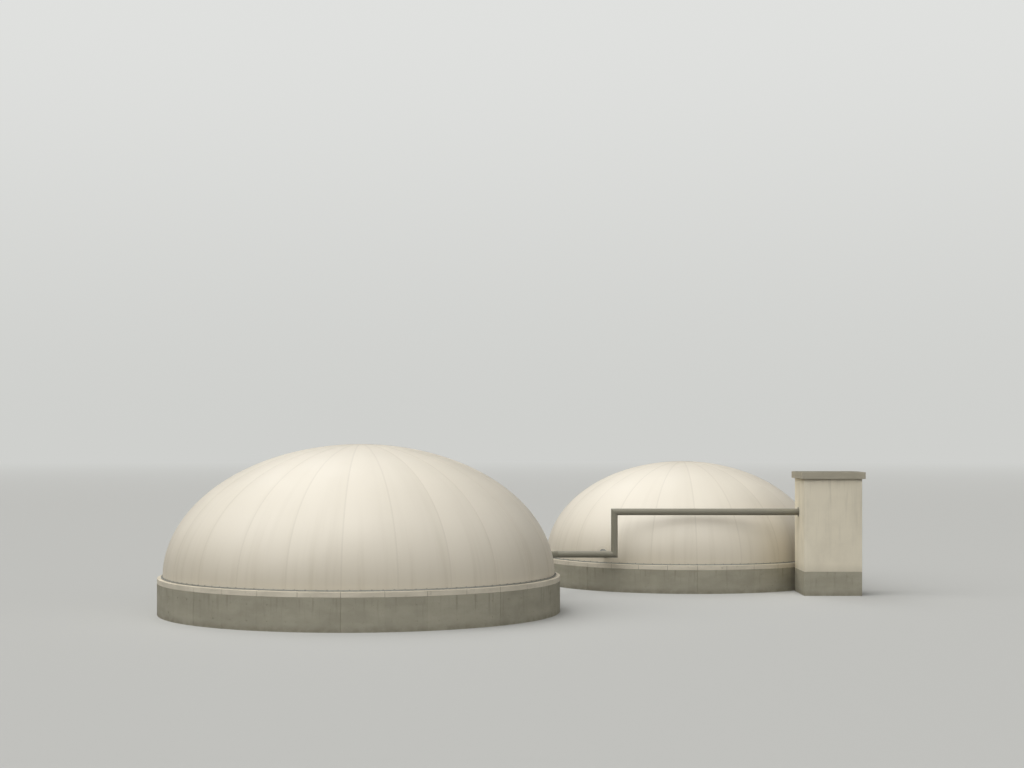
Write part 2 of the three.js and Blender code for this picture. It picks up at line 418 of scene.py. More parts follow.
@dataclass(frozen=True)
class CastConcrete(Finish):
    """Grey-brown concrete cast against steel forms and left as it came out of them.

    Each form leaves its own tone. Air against the form leaves pores, rain from the coping leaves dark runs,
    and splashes from the ground darken the foot.
    """

    centre: Vector
    radius: float
    height: float
    form_width: float
    wrap: Wrap = Wrap.ROUND
    grout: str = "#aba693"
    tone_spread: float = 0.1
    bloom: str = "#bab5a3"
    blooming: Patches = Patches((0.7, 0.7, 0.4), 0.0, 0.3, detail=5.0)
    # This colour darkens the clouds, rain runs and splashes, and inside the pores it is painted shade.
    damp_and_pore_shade: str = "#767261"
    clouds: Patches = Patches((1.7, 1.7, 0.6), 0.0, 0.2, detail=4.0)
    runs: Patches = Patches((0.16, 1.8, 1.0), 0.0, 0.45, low=0.52, high=0.78, detail=2.0)
    runs_reach: float = 0.15
    runs_at_foot: float = 0.1
    splashes: Patches = Patches((0.35, 0.35, 1.0), 0.4, 1.0)
    splash_start: float = 0.02
    splash_height: float = 0.3
    splash_cover: float = 0.5
    dullness: Patches = Patches((0.3, 0.3, 0.3), 0.78, 0.94)
    waves: Patches = Patches((0.12, 0.12, 0.12), 0.0, 1.0)
    wave_height: float = 0.004
    # Pores are 3 to 15 mm across. They are drawn about 45 mm apart, so that they show as a fine speckle.
    pore_pitch: float = 0.045
    pore_variety: float = 0.35
    pore_core: float = 0.12
    pore_rim: float = 0.28
    # A pore's deepest value, which sets both its sunk relief and how dark its painted shade is.
    pore_shade_and_depth: float = 0.7
    pore_depth: float = 0.002

    def surface(self, tree: Tree) -> Settings:
        """Draws the concrete's tones, stains, pores and waves.

        Args:
            tree: The material's node tree.

        Returns:
            What the shader's inputs get.
        """
        place = place_about(tree, self.centre)
        flat = unrolled(tree, place, self.radius)[0] if self.wrap is Wrap.ROUND else place
        along = add_node(tree, "ShaderNodeSeparateXYZ", {"Vector": flat})
        height = add_node(tree, "ShaderNodeSeparateXYZ", {"Vector": place}).outputs["Z"]
        grout = toned(tree, along, self.form_width, self.grout, self.tone_spread)
        pores = self.pores(tree, place)
        # The pores join the stains here, but their darkening is painted shade in the pits.
        stains = [self.clouds.on(tree, place), *self.rain(tree, flat, height), pores]
        damp_and_pore_shade = [(self.damp_and_pore_shade, cover) for cover in stains]
        colour = layered(tree, grout, (self.bloom, self.blooming.on(tree, place)), *damp_and_pore_shade)
        sunk = {"invert": True, "Strength": 0.6, "Distance": self.pore_depth, "Height": pores}
        pitted = add_node(tree, "ShaderNodeBump", sunk)
        waves = {"Strength": 0.35, "Distance": self.wave_height, "Height": self.waves.on(tree, place)}
        return {
            "Base Color": colour,
            "Roughness": self.dullness.on(tree, place),
            "IOR": 1.45,
            "Specular IOR Level": 0.35,
            "Normal": add_node(tree, "ShaderNodeBump", {"Normal": pitted, **waves}),
        }

    def rain(self, tree: Tree, flat: Source, height: Source) -> tuple[Node, Node]:
        """Draws the rain's dark runs down from the top, and the wet band of its splashes at the foot.

        Args:
            tree: The material's node tree.
            flat: The place along the wall.
            height: The height over the ground.

        Returns:
            How dark the runs are at the place, and how far the splashes have darkened it.
        """
        falling = eased(height, self.height * self.runs_reach, self.height, self.runs_at_foot, 1.0)
        fallen = add_node(tree, "ShaderNodeMapRange", falling)
        thinned = {"operation": "MULTIPLY", 0: self.runs.on(tree, flat), 1: fallen}
        splashing = eased(height, self.splash_start, self.splash_height, self.splash_cover, 0.0)
        band = add_node(tree, "ShaderNodeMapRange", splashing)
        uneven = {"operation": "MULTIPLY", 0: band, 1: self.splashes.on(tree, flat)}
        return add_node(tree, "ShaderNodeMath", thinned), add_node(tree, "ShaderNodeMath", uneven)

    def pores(self, tree: Tree, place: Source) -> Node:
        """Scatters the pores that air leaves against a form.

        Their depth also darkens the colour, as painted shade in the pits.

        Args:
            tree: The material's node tree.
            place: The place in metres.

        Returns:
            How deep in a pore the place is.
        """
        cells = add_node(tree, "ShaderNodeTexVoronoi", {"Scale": 1.0 / self.pore_pitch, "Vector": place})
        lot = add_node(tree, "ShaderNodeSeparateColor", {"Color": cells.outputs["Color"]})
        # A cell's lot shrinks its pore, and a high one leaves none.
        shrunk = {"operation": "MULTIPLY_ADD", 0: lot, 1: self.pore_variety, 2: cells}
        near = add_node(tree, "ShaderNodeMath", shrunk)
        deepest = eased(near, self.pore_core, self.pore_rim, self.pore_shade_and_depth, 0.0)
        return add_node(tree, "ShaderNodeMapRange", deepest)


@dataclass(frozen=True)
class TrowelledConcrete(Finish):
    """Pale concrete, precast in smooth moulds and trowelled on top.

    It is lighter and closer than a wall cast in place. Lichen and rain leave a few soft grey spots.
    """

    face: str = "#e3dac6"
    stain: str = "#9c9682"
    clouds: Patches = Patches((1.1, 1.1, 0.5), 0.0, 0.25, detail=5.0)
    spots: Patches = Patches((0.14, 0.14, 0.14), 0.0, 0.4, low=0.6, high=0.8)
    dullness: Patches = Patches((0.4, 0.4, 0.4), 0.72, 0.88)
    # The sand in its skin is 1 to 2 mm. It is drawn at 20 mm.
    sand: Patches = Patches((0.02, 0.02, 0.02), 0.0, 1.0)
    sand_height: float = 0.001

    def surface(self, tree: Tree) -> Settings:
        """Draws the concrete's colour, stains and fine grain.

        Args:
            tree: The material's node tree.

        Returns:
            What the shader's inputs get.
        """
        here = place_about(tree)
        stains = [(self.stain, cover.on(tree, here)) for cover in (self.clouds, self.spots)]
        grain = {"Strength": 0.4, "Distance": self.sand_height, "Height": self.sand.on(tree, here)}
        return {
            "Base Color": layered(tree, self.face, *stains),
            "Roughness": self.dullness.on(tree, here),
            "IOR": 1.45,
            "Specular IOR Level": 0.35,
            "Normal": add_node(tree, "ShaderNodeBump", grain),
        }


@dataclass(frozen=True)
class PointedMortar(Finish):
    """Cement mortar, pressed into a joint and struck with a trowel. It dries darker than the stones."""

    face: str = "#989280"
    dark: str = "#787361"
    clouds: Patches = Patches((0.3, 0.3, 0.3), 0.0, 0.5)
    # The sand's grit is 1 to 2 mm. It is drawn at 8 mm.
    grit: Patches = Patches((0.008, 0.008, 0.008), 0.0, 1.0)
    grit_height: float = 0.0015

    def surface(self, tree: Tree) -> Settings:
        """Draws the mortar's colour and grit.

        Args:
            tree: The material's node tree.

        Returns:
            What the shader's inputs get.
        """
        here = place_about(tree)
        grit = {"Strength": 0.6, "Distance": self.grit_height, "Height": self.grit.on(tree, here)}
        return {
            "Base Color": layered(tree, self.face, (self.dark, self.clouds.on(tree, here))),
            "Roughness": 0.95,
            "Specular IOR Level": 0.25,
            "Normal": add_node(tree, "ShaderNodeBump", grit),
        }


@dataclass(frozen=True)
class HotDipZinc(Finish):
    """Steel dipped in molten zinc. It froze into crystals that each shine differently and dull outdoors."""

    zinc: str = "#b9bab6"
    dull: str = "#93948f"
    # Spangle is 5 to 20 mm across. It is drawn at 25 mm.
    spangle: float = 0.025

    def surface(self, tree: Tree) -> Settings:
        """Draws the spangle's tones and gloss.

        Args:
            tree: The material's node tree.

        Returns:
            What the shader's inputs get.
        """
        spangle = {"Scale": 1.0 / self.spangle, "Vector": place_about(tree)}
        crystals = add_node(tree, "ShaderNodeTexVoronoi", spangle).outputs["Color"]
        pick = add_node(tree, "ShaderNodeSeparateColor", {"Color": crystals})
        dulled = {"To Min": 0.1, "To Max": 0.8, "Value": pick.outputs["Red"]}
        roughened = {"To Min": 0.38, "To Max": 0.6, "Value": pick.outputs["Green"]}
        return {
            "Base Color": layered(tree, self.zinc, (self.dull, add_node(tree, "ShaderNodeMapRange", dulled))),
            "Metallic": 1.0,
            "Roughness": add_node(tree, "ShaderNodeMapRange", roughened),
        }


SHEET_ZINC = HotDipZinc("hot_dip_zinc")
# Bolts are spun clean after their dip. Their thinner zinc weathers darker.
BOLT_ZINC = HotDipZinc("spun_bolt_zinc", zinc="#868782", dull="#62635e", spangle=0.012)


class Lay(Enum):
    """Which way a pipe lies, and so which way it was painted."""

    ALONG = "along the plant"
    ACROSS = "from back to front"
    UPRIGHT = "upright"
    DIAGONAL = "at 45 degrees between the tanks"


LAY_AXIS = {
    Lay.ALONG: ALONG_X,
    Lay.ACROSS: ALONG_Y,
    Lay.UPRIGHT: UP,
    Lay.DIAGONAL: Vector((1, 1, 0)).normalized(),
}


@dataclass(frozen=True)
class BrushedPaint(Finish):
    """Two coats of grey-brown alkyd paint on steel pipe, brushed along it.

    The paint has a satin gloss, the brush leaves shallow marks, the sun has chalked the top a little, and the
    underside keeps its grime.
    """

    lay: Lay = Lay.ALONG
    paint: str = "#8b8776"
    chalk: str = "#9a9584"
    chalking: Patches = Patches((0.8, 0.8, 0.8), 0.4, 1.0)
    chalk_cover: float = 0.5
    grime: str = "#6a6555"
    grime_cover: float = 0.35
    # A side faces straight up at 1 and straight down at -1.
    chalk_from: float = 0.2
    grime_up_to: float = -0.3
    dullness: Patches = Patches((0.4, 0.4, 0.4), 0.38, 0.52)
    # Bristle marks are 1 to 2 mm apart and run on along the pipe. They are drawn 12 mm apart.
    marks: Patches = Patches((0.6, 0.012, 0.012), 0.0, 1.0)
    mark_height: float = 0.0006

    def surface(self, tree: Tree) -> Settings:
        """Draws the paint's colour, chalking, grime and brush marks.

        Args:
            tree: The material's node tree.

        Returns:
            What the shader's inputs get.
        """
        here = place_about(tree)
        facing = add_node(tree, "ShaderNodeNewGeometry").outputs["Normal"]
        rise = add_node(tree, "ShaderNodeSeparateXYZ", {"Vector": facing}).outputs["Z"]
        upper = eased(rise, self.chalk_from, 1.0, 0.0, self.chalk_cover)
        top = add_node(tree, "ShaderNodeMapRange", upper)
        chalked = {"operation": "MULTIPLY", 0: top, 1: self.chalking.on(tree, here)}
        chalk = (self.chalk, add_node(tree, "ShaderNodeMath", chalked))
        lower = eased(rise, -1.0, self.grime_up_to, self.grime_cover, 0.0)
        under = add_node(tree, "ShaderNodeMapRange", lower)
        turn = LAY_AXIS[self.lay].rotation_difference(ALONG_X).to_euler()
        brushed = add_node(tree, "ShaderNodeMapping", {"Rotation": turn, "Vector": here})
        marks = {"Strength": 0.25, "Distance": self.mark_height, "Height": self.marks.on(tree, brushed)}
        return {
            "Base Color": layered(tree, self.paint, chalk, (self.grime, under)),
            "Roughness": self.dullness.on(tree, here),
            "IOR": 1.5,
            "Normal": add_node(tree, "ShaderNodeBump", marks),
        }


@dataclass(frozen=True)
class MineralRender(Finish):
    """Cream mineral render on blockwork, thrown on and rubbed with a felt float.

    The float leaves an even matt grain. Rain has washed it slightly unevenly and splashed its foot.
    """

    foot: float
    top: float
    coat: str = "#f1e8d1"
    wash: str = "#d8cfb9"
    washing: Patches = Patches((0.9, 0.9, 1.3), 0.0, 0.35, detail=5.0)
    dirt: str = "#a39a84"
    runs: Patches = Patches((0.13, 0.13, 2.4), 0.0, 0.22, low=0.5, high=0.75, detail=2.0)
    runs_at_foot: float = 0.15
    splash_height: float = 0.4
    splash_cover: float = 0.25
    # The grain is 2 mm. It is drawn at 14 mm so that it shows.
    grain: Patches = Patches((0.014, 0.014, 0.014), 0.0, 1.0)
    grain_height: float = 0.002

    def surface(self, tree: Tree) -> Settings:
        """Draws the render's colour, wash, runs, splashes and floated grain.

        Args:
            tree: The material's node tree.

        Returns:
            What the shader's inputs get.
        """
        here = place_about(tree)
        height = add_node(tree, "ShaderNodeSeparateXYZ", {"Vector": here}).outputs["Z"]
        falling = eased(height, self.foot, self.top, self.runs_at_foot, 1.0)
        fallen = add_node(tree, "ShaderNodeMapRange", falling)
        thinned = {"operation": "MULTIPLY", 0: self.runs.on(tree, here), 1: fallen}
        runs = add_node(tree, "ShaderNodeMath", thinned)
        splashing = eased(height, self.foot, self.foot + self.splash_height, self.splash_cover, 0.0)
        splashes = add_node(tree, "ShaderNodeMapRange", splashing)
        stains = ((self.wash, self.washing.on(tree, here)), (self.dirt, runs), (self.dirt, splashes))
        grain = {"Strength": 0.55, "Distance": self.grain_height, "Height": self.grain.on(tree, here)}
        return {
            "Base Color": layered(tree, self.coat, *stains),
            "Roughness": 0.92,
            "Specular IOR Level": 0.25,
            "Normal": add_node(tree, "ShaderNodeBump", grain),
        }


@dataclass(frozen=True)
class MineralFelt(Finish):
    """Bitumen roofing felt with slate granules rolled into it, torched down in lapped strips."""

    granules: str = "#8f8a7b"
    bitumen: str = "#55514a"
    # Granules are 1 mm. They are drawn at 10 mm.
    bare: Patches = Patches((0.01, 0.01, 0.01), 0.0, 0.5, low=0.5, high=0.7, detail=1.0)
    granule_height: float = 0.001
    silt: str = "#a8a291"
    silting: Patches = Patches((0.8, 0.8, 0.8), 0.0, 0.35)

    def surface(self, tree: Tree) -> Settings:
        """Draws the granules' speckle and relief, and the silt on them.

        Args:
            tree: The material's node tree.

        Returns:
            What the shader's inputs get.
        """
        here = place_about(tree)
        bare = self.bare.on(tree, here)
        layers = ((self.bitumen, bare), (self.silt, self.silting.on(tree, here)))
        relief = {"Strength": 0.5, "Distance": self.granule_height, "Height": bare}
        return {
            "Base Color": layered(tree, self.granules, *layers),
            "Roughness": 0.95,
            "Specular IOR Level": 0.3,
            "Normal": add_node(tree, "ShaderNodeBump", relief),
        }


# Tools for meshes

# The angles between two faces from which the edge between them shows, on solids and on cloth.
SOLID_EDGE = math.radians(20)
CLOTH_EDGE = math.radians(60)
# The angles from which an edge counts as sharp, on most pieces and on a wall panel with its marks.
SHARP = math.radians(40)
PANEL_SHARP = math.radians(70)
# A face looks some way when the cosine between that way and its normal is at least this.
FACING = 0.9
# Places nearer to each other than this count as one.
NEAR = 1e-4


def placed(name: str, data: bpy.types.ID) -> Piece:
    """Puts a mesh, light or camera in the scene.

    Args:
        name: The new object's name.
        data: What the object shows.

    Returns:
        The object, at the origin.
    """
    piece = bpy.data.objects.new(name, data)
    bpy.context.scene.collection.objects.link(piece)
    return piece


def meshed(bm: BMesh, name: str, material: Material) -> Piece:
    """Turns a mesh under construction into a smooth object.

    Args:
        bm: The mesh, in the model's frame. It is used up.
        name: The object's name.
        material: Its material.

    Returns:
        The object.
    """
    mesh = bpy.data.meshes.new(name)
    bm.to_mesh(mesh)
    bm.free()
    mesh.polygons.foreach_set("use_smooth", [True] * len(mesh.polygons))
    mesh.materials.append(material)
    return placed(name, mesh)


def finished(
    bm: BMesh,
    name: str,
    finish: Finish,
    stands_for: Sequence[str] = (),
    sharp_from: float = SOLID_EDGE,
) -> Piece:
    """Turns a mesh under construction into a finished piece.

    Args:
        bm: The mesh, in the model's frame. It is used up.
        name: The piece's name.
        finish: What the piece is made of.
        stands_for: The construction nodes that the piece takes the place of.
        sharp_from: The angle between two faces from which the edge between them shows as an edge.

    Returns:
        The piece.
    """
    piece = meshed(bm, name, finish.material())
    piece.data.set_sharp_from_angle(angle=sharp_from)
    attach(piece, BODY)
    if stands_for:
        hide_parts(*stands_for)
    log.info("%s: %d faces of %s", name, len(piece.data.polygons), finish.title)
    return piece


def everything(bm: BMesh) -> list[Part]:
    """Lists all of a mesh for an operator that takes mixed geometry."""
    return bm.verts[:] + bm.edges[:] + bm.faces[:]


def verts_in(geom: Iterable[Part]) -> list[BMVert]:
    """Picks the vertices out of mixed geometry."""
    return [part for part in geom if isinstance(part, BMVert)]


def rise_of(edge: BMEdge) -> float:
    """Gives how much higher one end of an edge is than the other."""
    return abs(edge.verts[0].co.z - edge.verts[1].co.z)


def faced_outwards(bm: BMesh) -> None:
    """Turns all faces of closed solids outwards."""
    bmesh.ops.recalc_face_normals(bm, faces=bm.faces)


def faced_from(bm: BMesh, inside: Vector) -> None:
    """Turns the faces of an open sheet away from a point behind it.

    Args:
        bm: The mesh.
        inside: The point.
    """
    bm.normal_update()
    for face in bm.faces:
        if face.normal.dot(face.calc_center_median() - inside) < 0:
            face.normal_flip()


def bevelled(bm: BMesh, edges: Iterable[BMEdge], width: float, segments: int = 2) -> list[BMFace]:
    """Rounds edges.

    Args:
        bm: The mesh.
        edges: The edges to round.
        width: How far the rounding reaches from the edge.
        segments: How many facets it gets.

    Returns:
        The rounding's faces.
    """
    return bmesh.ops.bevel(
        bm,
        geom=list(edges),
        offset=width,
        offset_type="OFFSET",
        segments=segments,
        profile=0.5,
        affect="EDGES",
        clamp_overlap=True,
        material=-1,
    )["faces"]


def sharp_edges(bm: BMesh, least: float = SHARP) -> list[BMEdge]:
    """Finds the edges where two faces meet at more than an angle.

    Args:
        bm: The mesh.
        least: The least angle between the two faces.

    Returns:
        The edges.
    """
    return [edge for edge in bm.edges if len(edge.link_faces) == 2 and edge.calc_face_angle() > least]


def spun(bm: BMesh, geom: Sequence[Part], sweep: float, steps: int, closed: bool) -> None:
    """Spins geometry about the Z axis into a surface or solid.

    Args:
        bm: The mesh.
        geom: What is spun.
        sweep: The angle.
        steps: How many straight stretches it gets.
        closed: Whether the end meets the start.
    """
    bmesh.ops.spin(bm, geom=geom, cent=ORIGIN, axis=UP, angle=sweep, steps=steps, use_merge=closed)


def turned_arc(bm: BMesh, outline: Sequence[tuple[float, float]], sweep: float, steps: int) -> None:
    """Makes a solid arc: an outline turned about the Z axis from the +X side.

    Args:
        bm: An empty mesh, which gets the solid.
        outline: The section's (radius, height) corners, in order.
        sweep: The arc's angle, less than a full turn.
        steps: How many straight stretches the arc gets.
    """
    section = bm.faces.new([bm.verts.new((radius, 0.0, height)) for radius, height in outline])
    spun(bm, [section], sweep, steps, closed=False)
    faced_outwards(bm)


def turned_ring(bm: BMesh, outline: Sequence[tuple[float, float]], steps: int) -> None:
    """Makes a closed ring: an outline turned fully about the Z axis.

    Args:
        bm: An empty mesh, which gets the ring.
        outline: The section's (radius, height) corners, in order.
        steps: How many straight stretches the ring gets.
    """
    corners = [bm.verts.new((radius, 0.0, height)) for radius, height in outline]
    sides = [bm.edges.new(pair) for pair in zip(corners, corners[1:] + corners[:1])]
    spun(bm, corners + sides, math.tau, steps, closed=True)
    faced_outwards(bm)


def repeated_round(bm: BMesh, count: int) -> None:
    """Repeats everything in a mesh at even angles round the Z axis.

    Args:
        bm: The mesh that holds the first one.
        count: How many there are in the end.
    """
    bmesh.ops.spin(
        bm,
        geom=everything(bm),
        cent=ORIGIN,
        axis=UP,
        angle=math.tau * (count - 1) / count,
        steps=count - 1,
        use_duplicate=True,
    )


def moved(bm: BMesh, by: Vector, turn: float = 0.0) -> None:
    """Turns a mesh about the Z axis and then moves it.

    Args:
        bm: The mesh.
        by: The way it moves.
        turn: The angle that it turns by first.
    """
    bmesh.ops.rotate(bm, verts=bm.verts, cent=ORIGIN, matrix=Matrix.Rotation(turn, 3, "Z"))
    bmesh.ops.translate(bm, verts=bm.verts, vec=by)


def stood_on(bm: BMesh, foot: Vector, axis: Vector, verts: Sequence[BMVert] | None = None) -> None:
    """Takes what was made standing on the origin along +Z to its place on the model.

    Args:
        bm: The mesh.
        foot: Where the origin goes.
        axis: Where +Z goes.
        verts: What is taken there, or None for everything.
    """
    place = Matrix.Translation(foot) @ axis.to_track_quat("Z", "Y").to_matrix().to_4x4()
    bmesh.ops.transform(bm, matrix=place, verts=verts or bm.verts[:])


def slid_to_plane(verts: Iterable[BMVert], axis: Vector, corner: Vector, normal: Vector) -> None:
    """Slides points along an axis until they lie in a plane.

    Args:
        verts: The points.
        axis: The way they slide.
        corner: A point of the plane.
        normal: The plane's normal.
    """
    for vert in verts:
        vert.co += axis * ((corner - vert.co).dot(normal) / axis.dot(normal))


def block(bm: BMesh, low: Vector, high: Vector) -> None:
    """Adds a rectangular block.

    Args:
        bm: The mesh.
        low: Its lowest corner.
        high: Its highest corner.
    """
    made = bmesh.ops.create_cube(bm, size=1.0)["verts"]
    bmesh.ops.scale(bm, verts=made, vec=high - low)
    bmesh.ops.translate(bm, verts=made, vec=(low + high) / 2)


def bar(bm: BMesh, sides: int, radius: float, low: float, high: float) -> list[BMVert]:
    """Adds a bar with flat ends along +Z.

    Args:
        bm: The mesh.
        sides: How many sides it has.
        radius: The radius of its corners.
        low: Its lower end.
        high: Its upper end.

    Returns:
        The bar's corners.
    """
    ends = {"radius1": radius, "radius2": radius}
    made = bmesh.ops.create_cone(bm, cap_ends=True, segments=sides, depth=high - low, **ends)["verts"]
    bmesh.ops.translate(bm, verts=made, vec=UP * (low + high) / 2)
    return made


# A bolt's other sizes, as shares of its head's width across the flats.
WASHER_SIDES = 16
WASHER_RADIUS = 0.9
WASHER_THICKNESS = 0.14
HEAD_HEIGHT = 0.6


def hex_bolt(bm: BMesh, across: float) -> list[BMVert]:
    """Adds a hexagon bolt head on its washer, standing on the origin.

    Args:
        bm: The mesh.
        across: The head's width across its flats.

    Returns:
        The bolt's corners.
    """
    washer_top = across * WASHER_THICKNESS
    washer = bar(bm, WASHER_SIDES, across * WASHER_RADIUS, 0.0, washer_top)
    head = bar(bm, 6, across / math.sqrt(3), washer_top, washer_top + across * HEAD_HEIGHT)
    return washer + head


# The tanks


class TankName(Enum):
    """The two tanks, by the start of their nodes' names."""

    MAIN = "main"
    SECOND = "second"


@dataclass
class TankWall:
    """A tank's round wall, cast in place in panels, with its coping stones."""

    tank: TankName
    panels: int = 8
    forms_per_panel: int = 4
    columns_per_form: int = 13
    wall_thickness: float = 0.3
    construction_joint: float = 0.02
    top_arris: float = 0.006
    fin_width: float = 0.01
    fin_height: float = 0.004
    fin_taper: float = 0.002
    tie_columns: tuple[int, int] = (3, 9)
    tie_heights: tuple[float, float] = (0.28, 0.76)
    tie_radius: float = 0.032
    tie_depth: float = 0.014
    tie_taper: float = 0.0035
    cuts_per_tie_side: int = 2
    coping_width: float = 0.4
    stones_per_panel: int = 4
    stone_joint: float = 0.01
    stone_arris: float = 0.012
    pointing_depth: float = 0.009

    def __post_init__(self) -> None:
        """Reads the tank's place and radii from the construction model."""
        low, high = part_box(f"{self.tank.value}_coping")
        self.axis = Vector(((low.x + high.x) / 2, (low.y + high.y) / 2, 0.0))
        self.radius = (high.x - low.x) / 2
        self.wall_top = low.z
        self.coping_top = high.z
        self.sweep = math.tau / self.panels
        self.form_sweep = self.sweep / self.forms_per_panel
        self.columns = self.forms_per_panel * self.columns_per_form
        # The outer side's columns are this wide, and a tie hole's band is as high.
        self.cell = self.sweep / self.columns * self.radius

    def build(self) -> None:
        """Makes the wall panels, the coping stones and their mortar, and dresses the floor."""
        concrete = CastConcrete(
            f"cast_concrete_{self.tank.value}",
            centre=self.axis,
            radius=self.radius,
            height=self.wall_top,
            form_width=self.form_sweep * self.radius,
        )
        for number in range(self.panels):
            self.wall_panel(number, concrete)
        self.coping_stones()
        self.coping_mortar()
        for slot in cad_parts[f"{self.tank.value}_floor_slab"].material_slots:
            slot.material = concrete.material()

    def wall_panel(self, number: int, concrete: CastConcrete) -> None:
        """Makes one panel with its form marks and tie holes.

        Args:
            number: The panel's place round the tank, from 0.
            concrete: What it is cast from.
        """
        inner = self.radius - self.wall_thickness
        centres = [share * self.wall_top for share in self.tie_heights]
        bands = [centre + side * self.cell / 2 for centre in centres for side in (-1, 1)]
        outer_side = [(self.radius, level) for level in (0.0, *bands, self.wall_top)]
        bm = bmesh.new()
        turned_arc(bm, [(inner, 0.0), *outer_side, (inner, self.wall_top)], self.sweep, self.columns)
        self.tie_holes(bm, centres)
        self.form_fins(bm)
        self.panel_edges(bm)
        moved(bm, self.axis, number * self.sweep)
        node = f"{self.tank.value}_wall_panel_{number + 1}"
        finished(bm, f"{node}_cast", concrete, [node])

    def column_of(self, face: BMFace) -> int:
        """Tells in which column of the outer side a face lies, or -1 for another side.

        Args:
            face: The face.

        Returns:
            The column's number from the panel's start.
        """
        middle = face.calc_center_median()
        outwards = Vector((middle.x, middle.y, 0)).normalized()
        if face.normal.dot(outwards) < FACING:
            return -1
        return int(math.atan2(middle.y, middle.x) / self.sweep * self.columns)

    def tie_holes(self, bm: BMesh, centres: Sequence[float]) -> None:
        """Sinks the round recesses where the forms' ties went through the wall.

        Args:
            bm: The panel, with its start on +X.
            centres: The heights of the rows of holes.
        """
        holes = [
            face
            for face in bm.faces
            if self.column_of(face) % self.columns_per_form in self.tie_columns
            and any(abs(face.calc_center_median().z - centre) < self.cell / 4 for centre in centres)
        ]
        bmesh.ops.inset_individual(bm, faces=holes, thickness=self.cell / 4, depth=0.0)
        for face in holes:
            bmesh.ops.bisect_edges(bm, edges=face.edges[:], cuts=self.cuts_per_tie_side)
            middle = face.calc_center_median()
            for vert in face.verts:
                vert.co = middle + (vert.co - middle).normalized() * self.tie_radius
        bmesh.ops.inset_individual(bm, faces=holes, thickness=self.tie_taper, depth=-self.tie_depth)

    def form_fins(self, bm: BMesh) -> None:
        """Raises the thin fins that grout leaves where two forms meet.

        Args:
            bm: The panel, with its start on +X.
        """
        seams = []
        for edge in bm.edges:
            a, b = (vert.co for vert in edge.verts)
            upright = (a - b).to_2d().length < NEAR
            outside = a.to_2d().length > self.radius - NEAR
            forms_before = math.atan2(a.y, a.x) / self.form_sweep
            between_forms = 0 < round(forms_before) < self.forms_per_panel
            if upright and outside and between_forms and abs(forms_before - round(forms_before)) < NEAR:
                seams.append(edge)
        strips = [face for face in bevelled(bm, seams, self.fin_width / 2, 1) if self.column_of(face) >= 0]
        bmesh.ops.inset_region(bm, faces=strips, thickness=self.fin_taper, depth=self.fin_height)

    def panel_edges(self, bm: BMesh) -> None:
        """Chamfers the joints at both ends and eases the top's outer edge.

        Args:
            bm: The panel, with its start on +X.
        """
        ends = []
        top = []
        for edge in sharp_edges(bm, PANEL_SHARP):
            a, b = (vert.co for vert in edge.verts)
            outside = min(a.to_2d().length, b.to_2d().length) > self.radius - NEAR
            turns = [math.atan2(spot.y, spot.x) for spot in (a, b)]
            at_end = all(min(abs(turn), abs(turn - self.sweep)) < NEAR for turn in turns)
            if outside and at_end and rise_of(edge) > NEAR:
                ends.append(edge)
            elif outside and min(a.z, b.z) > self.wall_top - NEAR:
                top.append(edge)
        bevelled(bm, ends, self.construction_joint, segments=1)
        bevelled(bm, [edge for edge in top if edge.is_valid], self.top_arris, segments=1)

    def coping_stones(self) -> None:
        """Makes the ring of pale coping stones."""
        count = self.panels * self.stones_per_panel
        gap = self.stone_joint / self.radius
        inner = self.radius - self.coping_width
        low, high = self.wall_top, self.coping_top
        outline = [(inner, low), (self.radius, low), (self.radius, high), (inner, high)]
        bm = bmesh.new()
        turned_arc(bm, outline, math.tau / count - gap, self.columns_per_form)
        bevelled(bm, sharp_edges(bm), self.stone_arris)
        repeated_round(bm, count)
        moved(bm, self.axis, gap / 2)
        node = f"{self.tank.value}_coping"
        finished(bm, f"{node}_stones", TrowelledConcrete("trowelled_concrete"), [node])

    def coping_mortar(self) -> None:
        """Makes the mortar that shows in the joints between the coping stones."""
        inner = self.radius - self.coping_width + self.pointing_depth
        outer = self.radius - self.pointing_depth
        top = self.coping_top - self.pointing_depth
        outline = [(inner, self.wall_top), (outer, self.wall_top), (outer, top), (inner, top)]
        bm = bmesh.new()
        turned_ring(bm, outline, self.panels * self.columns)
        moved(bm, self.axis)
        finished(bm, f"{self.tank.value}_coping_mortar", PointedMortar("pointed_mortar"))


# The membrane is 1 mm thick. It is drawn 5 mm thick and its overlaps 4 mm high, so that they hold as solids.
CLOTH = 0.005
OVERLAP = 0.004
GORES = {TankName.MAIN: 24, TankName.SECOND: 20}


